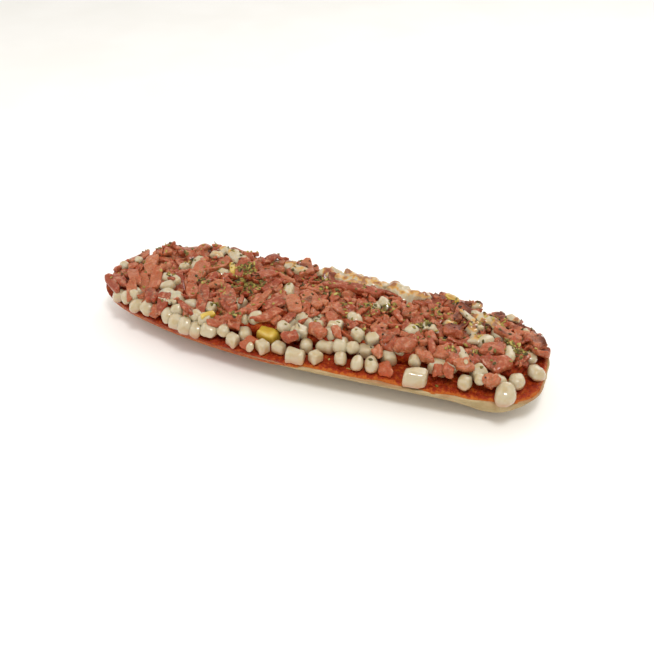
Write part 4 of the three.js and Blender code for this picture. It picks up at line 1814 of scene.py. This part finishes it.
@dataclass(frozen=True)
class SauceSpread:
    """The spread of sauce: coarse pulp with a ragged edge, which runs over the rim in front."""

    around: int = 900
    pulp: float = 0.42
    pulp_grain: float = 1.7
    pool_grain: float = 13.0
    shoulder: float = 0.35
    edge_inset: float = 1.3
    run_over: float = 5.0
    stand_off: float = 0.05

    def edge(self, angles: np.ndarray) -> np.ndarray:
        """Gives how far in from the rim the sauce stops at each angle, negative where it runs over."""
        rim = OUTLINE.ring(angles, 0)
        places = np.column_stack([rim, np.zeros(len(rim))])
        ragged = 0.8 * layered_noise(places, 9.0, 3, 21)
        over = smoothstep(14, -16, rim[:, 0]) * smoothstep(-4, -16, rim[:, 1])
        return self.edge_inset + ragged * (1 - 0.4 * over) - self.run_over * over

    def rings(self, angles: np.ndarray, steps: np.ndarray) -> list[np.ndarray]:
        """Gives the spread's smooth rings, down the crust where it runs over the rim.

        Args:
            angles: The directions of the points of each ring.
            steps: How far in from the sauce's edge each ring lies.

        Returns:
            The rings, from one hidden under the sauce to the innermost.
        """
        slope = Loaf().crust_slope(angles)
        edge = self.edge(angles)
        floor = BREAD_HEIGHT - self.stand_off
        under = OUTLINE.ring(angles, np.maximum(0.6, edge) + 6)
        rings = [np.column_stack([under, np.full(self.around, floor)])]
        for step in steps:
            inset = edge + step
            drop = np.clip(-inset, 0, None)
            plan = OUTLINE.ring(angles, np.maximum(inset, slope * drop - self.stand_off))
            thick = (SAUCE_TOP - floor) * float(smoothstep(-0.3, 1.8, np.array(step)))
            shoulder = self.shoulder * np.exp(-((inset - 0.2) ** 2))
            rings.append(np.column_stack([plan, floor + thick - drop - shoulder]))
        return rings

    def build(self) -> bpy.types.Object:
        """Builds the sauce in place of its node.

        Returns:
            The piece.
        """
        angles = OUTLINE.even_angles(self.around)
        steps = np.concatenate([np.linspace(0, 1, 6) ** 1.4 * 1.8, np.arange(2.4, 28, 0.75)])
        points, faces = rings_to_skin(self.rings(angles, steps))
        within = np.concatenate([[0.0], steps]).repeat(self.around)
        flat = points * [1, 1, 0.6]
        pulp = layered_noise(flat, self.pulp_grain, 3, 31)
        points[:, 2] += self.pulp * pulp * smoothstep(0.2, 2.2, within)
        pools = smoothstep(-0.2, 0.8, value_noise(flat, self.pool_grain, 33))
        depth = 0.5 * smoothstep(0.1, 1.7, within)
        depth += 0.35 * pools * smoothstep(2, 9, within) + 0.08 * pulp
        skin = Skin()
        skin.add(points, faces, depth=np.clip(depth, 0, 1))
        return skin.make("tomato_sauce_spread", CookedTomatoSauce(), SAUCE_NODE)


# ---------------------------------------------------------------------------- the heap


@dataclass
class Toppings:
    """Everything that lies on the sauce: ham, cheese, and the sauce-soaked core under them.

    Pieces that show on less than least_area square millimetres are left out of the heap. The core
    is a mound that keeps core_inset within the heap's edge and core_depth below its surface.
    """

    plan: HeapPlan = field(default_factory=HeapPlan)
    scraps: ScrapFill = field(default_factory=ScrapFill)
    front: FrontFill = field(default_factory=FrontFill)
    ground: Ground = field(default_factory=Ground)
    least_area: int = 3
    top_proud: float = 3.4
    ham_browning: float = 1.4
    # The share of the ham's sauce stain and painted shade that cheese deep in the heap takes.
    cheese_soak: float = 0.55
    core_half_length: float = 112.0
    core_cells: tuple[int, int, int] = (150, 44, 1)
    core_shift: float = -3.0
    core_inset: float = 3.0
    core_depth: float = 3.6
    core_least: float = 0.4
    voxel: float = 0.6
    melt_rounds: int = 4
    blister_grain: float = 3.0
    blister_height: float = 0.35
    melt_browning: float = 1.7

    def lay_all(self) -> None:
        """Lets every piece come to rest, in the order that the heap is built up."""
        singles = [self.ground.settle(Piece(*row)) for row in SINGLES]
        for piece in singles:
            self.ground.keep(piece)
        for piece in singles:
            self.ground.lift(piece)
        for row in FRONT_ROW:
            self.ground.lay(Piece(*row))
        self.plan.fill(self.ground)
        self.scraps.fill(self.ground, self.plan)
        self.front.fill(self.ground)
        for row in (*CRUMBS, *TOP_PIECES, *DRAPED, *MELTS):
            self.ground.lay(Piece(*row, proud=self.top_proud))
        LOG.info("%d pieces laid", len(self.ground.laid))

    def add_piece(self, skin: Skin, piece: Piece) -> None:
        """Adds one piece of topping to a skin."""
        points, facing, faces = shaped(piece)
        ham = piece.cut in HAM_CUTS
        toast = OVEN.browning(points, facing, self.ham_browning if ham else 1.0)
        # The ham is reddened the deeper it lies: sauce stain and painted shade.
        buried = sunk_stain_and_shade(points)
        # Cheese gets an orange foot, sauce stain with painted reflection, and a share of the painted
        # shade deep in the heap.
        soak = buried if ham else np.maximum(foot_stain_and_reflection(points), self.cheese_soak * buried)
        skin.add(points, faces, toast=toast, soak=soak)

    def finish_of(self, cut: Cut) -> Finish:
        """Gives the finish that a cut calls for."""
        if cut in HAM_CUTS:
            return CookedHam()
        return YellowCheese() if cut is Cut.YELLOW else SoftenedCheese()

    def build_singles(self) -> list[bpy.types.Object]:
        """Builds each single piece in place of its own node.

        Returns:
            The pieces.
        """
        built = []
        names = {Cut.DICE: "ham_chunk", Cut.YELLOW: "yellow_cheese_chunk"}
        for number, piece in enumerate(self.ground.laid[: len(SINGLES)], start=1):
            node = f"{names.get(piece.cut, 'cheese_chunk')}_{number:02d}"
            skin = Skin()
            self.add_piece(skin, piece)
            built.append(skin.make(f"{node}_softened", self.finish_of(piece.cut), node))
        return built

    def in_heap(self, *cuts: Cut) -> list[Piece]:
        """Gives the heap's pieces of these cuts that show at all."""
        pieces = self.ground.laid[len(SINGLES) :]
        return [p for p in pieces if p.cut in cuts and p.area >= self.least_area]

    def build_heap(self) -> list[bpy.types.Object]:
        """Builds the heap's pieces, one mesh for each cut, in place of the heap's node.

        Returns:
            The pieces.
        """
        kinds = {
            "ham_strips": (Cut.STRIP,),
            "ham_dice": (Cut.DICE,),
            "ham_scraps": (Cut.SCRAP, Cut.SHRED),
            "cheese_stubs": (Cut.PELLET, Cut.STRAND),
            "cheese_cubes": (Cut.CUBE,),
            "yellow_cheese_shreds": (Cut.YELLOW,),
        }
        built = []
        for name, cuts in kinds.items():
            skin = Skin()
            for piece in self.in_heap(*cuts):
                if not self.plan.melts(piece):
                    self.add_piece(skin, piece)
            built.append(skin.make(name, self.finish_of(cuts[0]), HEAP_NODE))
        return built

    def fused(self, skin: Skin, name: str) -> bpy.types.Mesh:
        """Runs the pieces of a skin together.

        Args:
            skin: The pieces.
            name: The name of the mesh.

        Returns:
            One closed, smooth mesh.
        """
        rough = skin.mesh(f"{name}_apart")
        fuse = rough.modifiers.new("fuse", "REMESH")
        fuse.mode = "VOXEL"
        fuse.voxel_size = self.voxel * MM
        ease = rough.modifiers.new("ease", "SMOOTH")
        ease.iterations = self.melt_rounds
        depsgraph = bpy.context.evaluated_depsgraph_get()
        mesh = bpy.data.meshes.new_from_object(rough.evaluated_get(depsgraph))
        bpy.data.objects.remove(rough)
        mesh.name = name
        mesh.polygons.foreach_set("use_smooth", np.ones(len(mesh.polygons), dtype=bool))
        return mesh

    def blister(self, mesh: bpy.types.Mesh) -> None:
        """Raises blisters on the top of melted cheese, and browns their tips.

        Args:
            mesh: The cheese, which also gets its traits.
        """
        points = np.empty(3 * len(mesh.vertices), dtype=np.float32)
        facing = np.empty_like(points)
        mesh.vertices.foreach_get("co", points)
        mesh.vertex_normals.foreach_get("vector", facing)
        points = points.reshape(-1, 3) / MM - LOAF_AXIS
        facing = facing.reshape(-1, 3)
        blisters = layered_noise(points, self.blister_grain, 2, 51) * smoothstep(0.2, 0.9, facing[:, 2])
        raised = points + facing * (self.blister_height * blisters)[:, None]
        points = np.clip(raised, LOWEST, HIGHEST)
        mesh.vertices.foreach_set("co", ((points + LOAF_AXIS) * MM).astype(np.float32).ravel())
        proud = smoothstep(0.0, 2.6, points[:, 2] - crown_height(points[:, 0], points[:, 1]))
        tips = self.melt_browning * OVEN.heat(points) * proud * smoothstep(-0.5, 0.7, blisters)
        set_trait(mesh, "toast", np.clip(tips, 0, 1) * smoothstep(-0.1, 0.7, facing[:, 2]))
        # The orange foot of the melted cheese: sauce stain with painted reflection of the sauce.
        set_trait(mesh, "soak", foot_stain_and_reflection(points))

    def build_melts(self) -> bpy.types.Object:
        """Builds the cheese that has run together, blistered where it caught the heat.

        Returns:
            The piece.
        """
        skin = Skin()
        white = self.in_heap(Cut.PELLET, Cut.CUBE)
        for piece in (*self.in_heap(Cut.MELT), *filter(self.plan.melts, white)):
            points, _, faces = shaped(piece)
            skin.add(points, faces)
        mesh = self.fused(skin, "melted_cheese")
        self.blister(mesh)
        melt = bpy.data.objects.new("melted_cheese", mesh)
        bpy.context.scene.collection.objects.link(melt)
        return dress(melt, SoftenedCheese(), HEAP_NODE)

    def build_core(self) -> bpy.types.Object:
        """Builds the sauce-soaked mound that shows in the gaps between the pieces.

        Returns:
            The piece.
        """
        half = (self.core_half_length, 1.0, 1.0)
        points, _, faces = rounded_block(half, 0.5, self.core_cells)
        u, v = points[:, 0] / half[0], np.clip(points[:, 1], -1, 1)
        upper = points[:, 2] > 0
        x = u * half[0] + self.core_shift
        y = np.empty_like(x)
        z = np.full_like(x, SAUCE_TOP - 0.3)
        widths = HALF_WIDTH * np.where(v < 0, OUTLINE.front_stretch(x), 1)
        ends = np.maximum(0.02, 1 - np.abs(u) ** 5) ** (1 / 3.2)
        for i, (along, across) in enumerate(zip(x, v)):
            reach = widths[i] - self.plan.inset(along, across) - self.core_inset
            y[i] = across * reach * ends[i]
            if upper[i]:
                mound = self.ground.mean_height(along, y[i]) - self.core_depth
                z[i] = max(TOPPING_FLOOR + self.core_least, mound)
        placed = np.column_stack([x, y, z])
        pulp = layered_noise(placed * [1, 1, 0], 1.9, 2, 41)
        placed[:, 2] += np.where(upper, 0.35 * pulp, 0)
        skin = Skin()
        skin.add(placed, faces, depth=0.5)
        return skin.make("sauce_soaked_core", CookedTomatoSauce(), HEAP_NODE)


# ---------------------------------------------------------------------------- herbs and specks


@dataclass
class Sprinkles:
    """What is strewn over the heap: rubbed herbs and charred specks, set on the real surface.

    Each cluster is a pinch of herbs: its place along and across, its spread, and its flakes.
    """

    seed: int = 991
    herb_flakes: int = 520
    specks: int = 240
    along: tuple[float, float] = (-114.0, 112.0)
    across: tuple[float, float] = (-36.0, 34.0)
    farthest_share: float = 0.97
    herbs_thicken: tuple[float, float] = (-26.0, -8.0)
    front_chance: float = 0.06
    clean_melt: tuple[float, float, float] = (-14.0, 54.0, 20.0)
    clusters: tuple[tuple[float, float, float, int], ...] = (
        (-41, 0, 8, 150),
        (-47, 13, 4, 50),
        (-112, 16, 5, 36),
        (-104, 20, 4, 24),
        (-80, 10, 3, 16),
        (-81, -7, 3, 14),
        (-64, -7, 4, 18),
        (105, -3, 3, 34),
        (56, -1, 4, 46),
        (37, 7, 4, 22),
        (32, 3, 3, 12),
        (3, 8, 4, 22),
        (85, -12, 3, 16),
        (74, -15, 2.4, 14),
        (100, 1, 3, 14),
        (26, 2, 5, 24),
        (16, 0, 4, 16),
        (-47, -22, 3, 14),
        (-34, -28, 2.6, 10),
        (-5, 18, 4, 14),
        (62, 12, 5, 14),
    )

    def surface(self, pieces: Iterable[bpy.types.Object]) -> BVHTree:
        """Makes one searchable surface of many pieces.

        Args:
            pieces: The pieces that things can lie on.

        Returns:
            The surface, in metres.
        """
        points, faces, count = [], [], 0
        for piece in pieces:
            mesh = piece.data
            points.extend(v.co.copy() for v in mesh.vertices)
            faces.extend([i + count for i in p.vertices] for p in mesh.polygons)
            count += len(mesh.vertices)
        return BVHTree.FromPolygons(points, faces)

    def flake(
        self,
        random: Random,
        place: np.ndarray,
        normal: Vector,
        size: tuple[float, float, float],
        bend: float,
    ) -> tuple[np.ndarray, np.ndarray]:
        """Makes one flake lying on a surface.

        Args:
            random: Where its turn and its tilt are drawn from.
            place: The point of the surface, in millimetres.
            normal: The direction that the surface faces there.
            size: Its length, width and thickness.
            bend: How much it is curved along its length, in millimetres.

        Returns:
            Its corners and faces.
        """
        cells = (4, 2, 1)
        places, faces = box_lattice(cells)
        share = places / np.array(cells) - 0.5
        points = share * np.array(size)
        # The flake narrows towards both ends and curves along and across.
        points[:, 1] *= 1 - 3 * share[:, 0] ** 2
        points[:, 2] += bend * (4 * share[:, 0] ** 2 - 0.4) + 1.2 * bend * share[:, 1] ** 2
        tilt = Vector([between(random, -1, 1) for _ in range(3)]) * 0.5
        up = (normal + tilt).normalized()
        turn = between(random, 0, 2 * math.pi)
        side = up.cross(Vector((math.cos(turn), math.sin(turn), 0.3))).normalized()
        pose = np.array([side.cross(up), side, up])
        lift = np.array(normal) * (0.2 * size[1])
        return points @ pose + place + lift, faces

    def strew(
        self,
        surface: BVHTree,
        places: Iterable[tuple[float, float]],
        size: Callable[[Random], tuple[float, float, float]],
        seed: int,
    ) -> Skin:
        """Drops flakes straight down on a surface.

        Args:
            surface: What they land on.
            places: Where in the plan they are dropped.
            size: Draws the length, width and thickness of one.
            seed: Where the stream of random numbers starts.

        Returns:
            The flakes as one skin.
        """
        random = stream(seed)
        skin = Skin()
        for x, y in places:
            above = Vector((x, y, 60)) + Vector(LOAF_AXIS)
            hit, normal, _, _ = surface.ray_cast(above * MM, Vector((0, 0, -1)))
            if hit is None:
                continue
            normal = normal if normal.z > 0 else -normal
            place = np.array(hit) / MM - LOAF_AXIS
            bend = between(random, -0.35, 0.35)
            points, faces = self.flake(random, place, normal, size(random), bend)
            skin.add(np.clip(points, LOWEST, HIGHEST), faces)
        return skin

    def scatter(self, random: Random, count: int) -> list[tuple[float, float]]:
        """Draws places all over the heap."""
        places = []
        while len(places) < count:
            x, y = between(random, *self.along), between(random, *self.across)
            if OUTLINE.share(x, y) < self.farthest_share:
                places.append((x, y))
        return places

    def herb_places(self) -> list[tuple[float, float]]:
        """Draws places for herbs: thinly everywhere, and thickly where a pinch of them fell."""
        random = stream(self.seed)
        strewn = self.scatter(random, self.herb_flakes)
        fronts = smoothstep(*self.herbs_thicken, np.array([y for _, y in strewn])) + self.front_chance
        places = [place for place, share in zip(strewn, fronts) if random() < share]
        start, end, front = self.clean_melt
        places = [(x, y) for x, y in places if y < front or not start < x < end]
        for x, y, spread, count in self.clusters:
            for _ in range(count):
                turn = between(random, 0, 2 * math.pi)
                out = spread * random() ** 0.7
                places.append((x + 1.3 * out * math.cos(turn), y + out * math.sin(turn)))
        return places

    def speck_places(self) -> list[tuple[float, float]]:
        """Draws places for specks: most along the back and at the near end, where it was hottest."""
        random = stream(self.seed + 1)
        drawn = self.scatter(random, 5 * self.specks)
        heat = OVEN.heat(np.array([(x, y, 0) for x, y in drawn]))
        kept = [place for place, warm in zip(drawn, heat) if random() < 0.6 * warm - 0.04]
        return kept[: self.specks]

    def build(
        self, pieces: Sequence[bpy.types.Object], clean: bpy.types.Object
    ) -> list[bpy.types.Object]:
        """Strews herbs and specks over the pieces.

        Args:
            pieces: What both of them lie on.
            clean: A piece that only herbs lie on.

        Returns:
            The herbs and the specks.
        """

        def leaf(random: Random) -> tuple[float, float, float]:
            """Draws a herb flake, now and then a thin stalk."""
            if random() < 0.1:
                return between(random, 2.4, 3.8), between(random, 0.35, 0.5), 0.3
            return between(random, 1.2, 2.7), between(random, 0.8, 1.6), between(random, 0.16, 0.28)

        def speck(random: Random) -> tuple[float, float, float]:
            """Draws a charred speck."""
            return between(random, 0.5, 1.3), between(random, 0.4, 0.9), between(random, 0.25, 0.45)

        herbs = self.strew(self.surface([*pieces, clean]), self.herb_places(), leaf, self.seed + 2)
        specks = self.strew(self.surface(pieces), self.speck_places(), speck, self.seed + 3)
        return [
            herbs.make("rubbed_herb_flakes", DriedHerbs(), HEAP_NODE),
            specks.make("charred_specks", CharredSpecks(), HEAP_NODE),
        ]


# ---------------------------------------------------------------------------- the studio


@dataclass(frozen=True)
class SoftBox:
    """A square soft light that faces the baguette."""

    name: str
    place: tuple[float, float, float]
    size: float
    watts: float


@dataclass(frozen=True)
class Studio:
    """The pale floor, the soft lights and the camera, whose lens and sensor are in millimetres."""

    azimuth: float = 21.17
    elevation: float = 38.02
    distance: float = 426.6
    aim: tuple[float, float, float] = (7.0, -5.4, 16.0)
    lens: float = 45.37
    sensor: float = 36.0
    sky: float = 0.84
    floor_reach: float = 4000.0
    lights: tuple[SoftBox, ...] = (
        SoftBox("window_light", (160, -260, 640), 130, 2.0),
        SoftBox("fill_light", (-520, -160, 420), 500, 0.8),
        SoftBox("back_light", (200, 520, 460), 420, 1.0),
    )

    def build(self) -> None:
        """Sets up floor, light and camera."""
        self.add_floor()
        self.add_sky()
        for light in self.lights:
            self.add_light(light)
        self.add_camera()
        bpy.context.scene.view_settings.view_transform = "Standard"

    def target(self) -> Vector:
        """Gives the point that camera and lights face, in metres."""
        return (Vector(self.aim) + Vector(LOAF_AXIS)) * MM

    def add_floor(self) -> None:
        """Adds the floor."""
        reach = self.floor_reach * MM
        corners = [(-reach, -reach, 0), (reach, -reach, 0), (reach, reach, 0), (-reach, reach, 0)]
        mesh = bpy.data.meshes.new("studio_floor")
        mesh.from_pydata(corners, [], [(0, 1, 2, 3)])
        floor = bpy.data.objects.new("studio_floor", mesh)
        bpy.context.scene.collection.objects.link(floor)
        floor.data.materials.append(PaintedFloor().material())

    def add_sky(self) -> None:
        """Lights the scene evenly from all around."""
        world = bpy.data.worlds.new("studio_sky")
        bpy.context.scene.world = world
        world.use_nodes = True
        backdrop = world.node_tree.nodes["Background"]
        backdrop.inputs["Color"].default_value = linear("FFFCF6")
        backdrop.inputs["Strength"].default_value = self.sky

    def add_light(self, box: SoftBox) -> None:
        """Adds a soft light."""
        data = bpy.data.lights.new(box.name, "AREA")
        data.shape = "SQUARE"
        data.size = box.size * MM
        data.energy = box.watts
        light = bpy.data.objects.new(box.name, data)
        bpy.context.scene.collection.objects.link(light)
        light.location = Vector(box.place) * MM
        light.rotation_euler = (self.target() - light.location).to_track_quat("-Z", "Y").to_euler()

    def add_camera(self) -> None:
        """Adds the camera, looking down on the loaf from the front, a little from the near end."""
        turn, rise = math.radians(self.azimuth), math.radians(self.elevation)
        out = (math.sin(turn) * math.cos(rise), -math.cos(turn) * math.cos(rise), math.sin(rise))
        back = Vector(out)
        right = Vector((math.cos(turn), math.sin(turn), 0))
        up = back.cross(right)
        data = bpy.data.cameras.new("camera")
        data.lens = self.lens
        data.sensor_width = self.sensor
        data.clip_start = 0.01
        data.dof.use_dof = False
        camera = bpy.data.objects.new("camera", data)
        bpy.context.scene.collection.objects.link(camera)
        pose = Matrix((right, up, back)).transposed().to_4x4()
        camera.matrix_world = Matrix.Translation(self.target() + back * self.distance * MM) @ pose
        bpy.context.scene.camera = camera


# ---------------------------------------------------------------------------- the whole


def main() -> None:
    """Builds the studio and the baguette, piece by piece."""
    logging.basicConfig(level=logging.INFO, format="%(name)s: %(message)s")
    Studio().build()
    bread = Loaf().build()
    sauce = SauceSpread().build()
    toppings = Toppings()
    toppings.lay_all()
    core = toppings.build_core()
    singles = toppings.build_singles()
    heap = toppings.build_heap()
    melts = toppings.build_melts()
    Sprinkles().build([bread, sauce, core, *singles, *heap], melts)


if __name__ == "__main__":
    main()
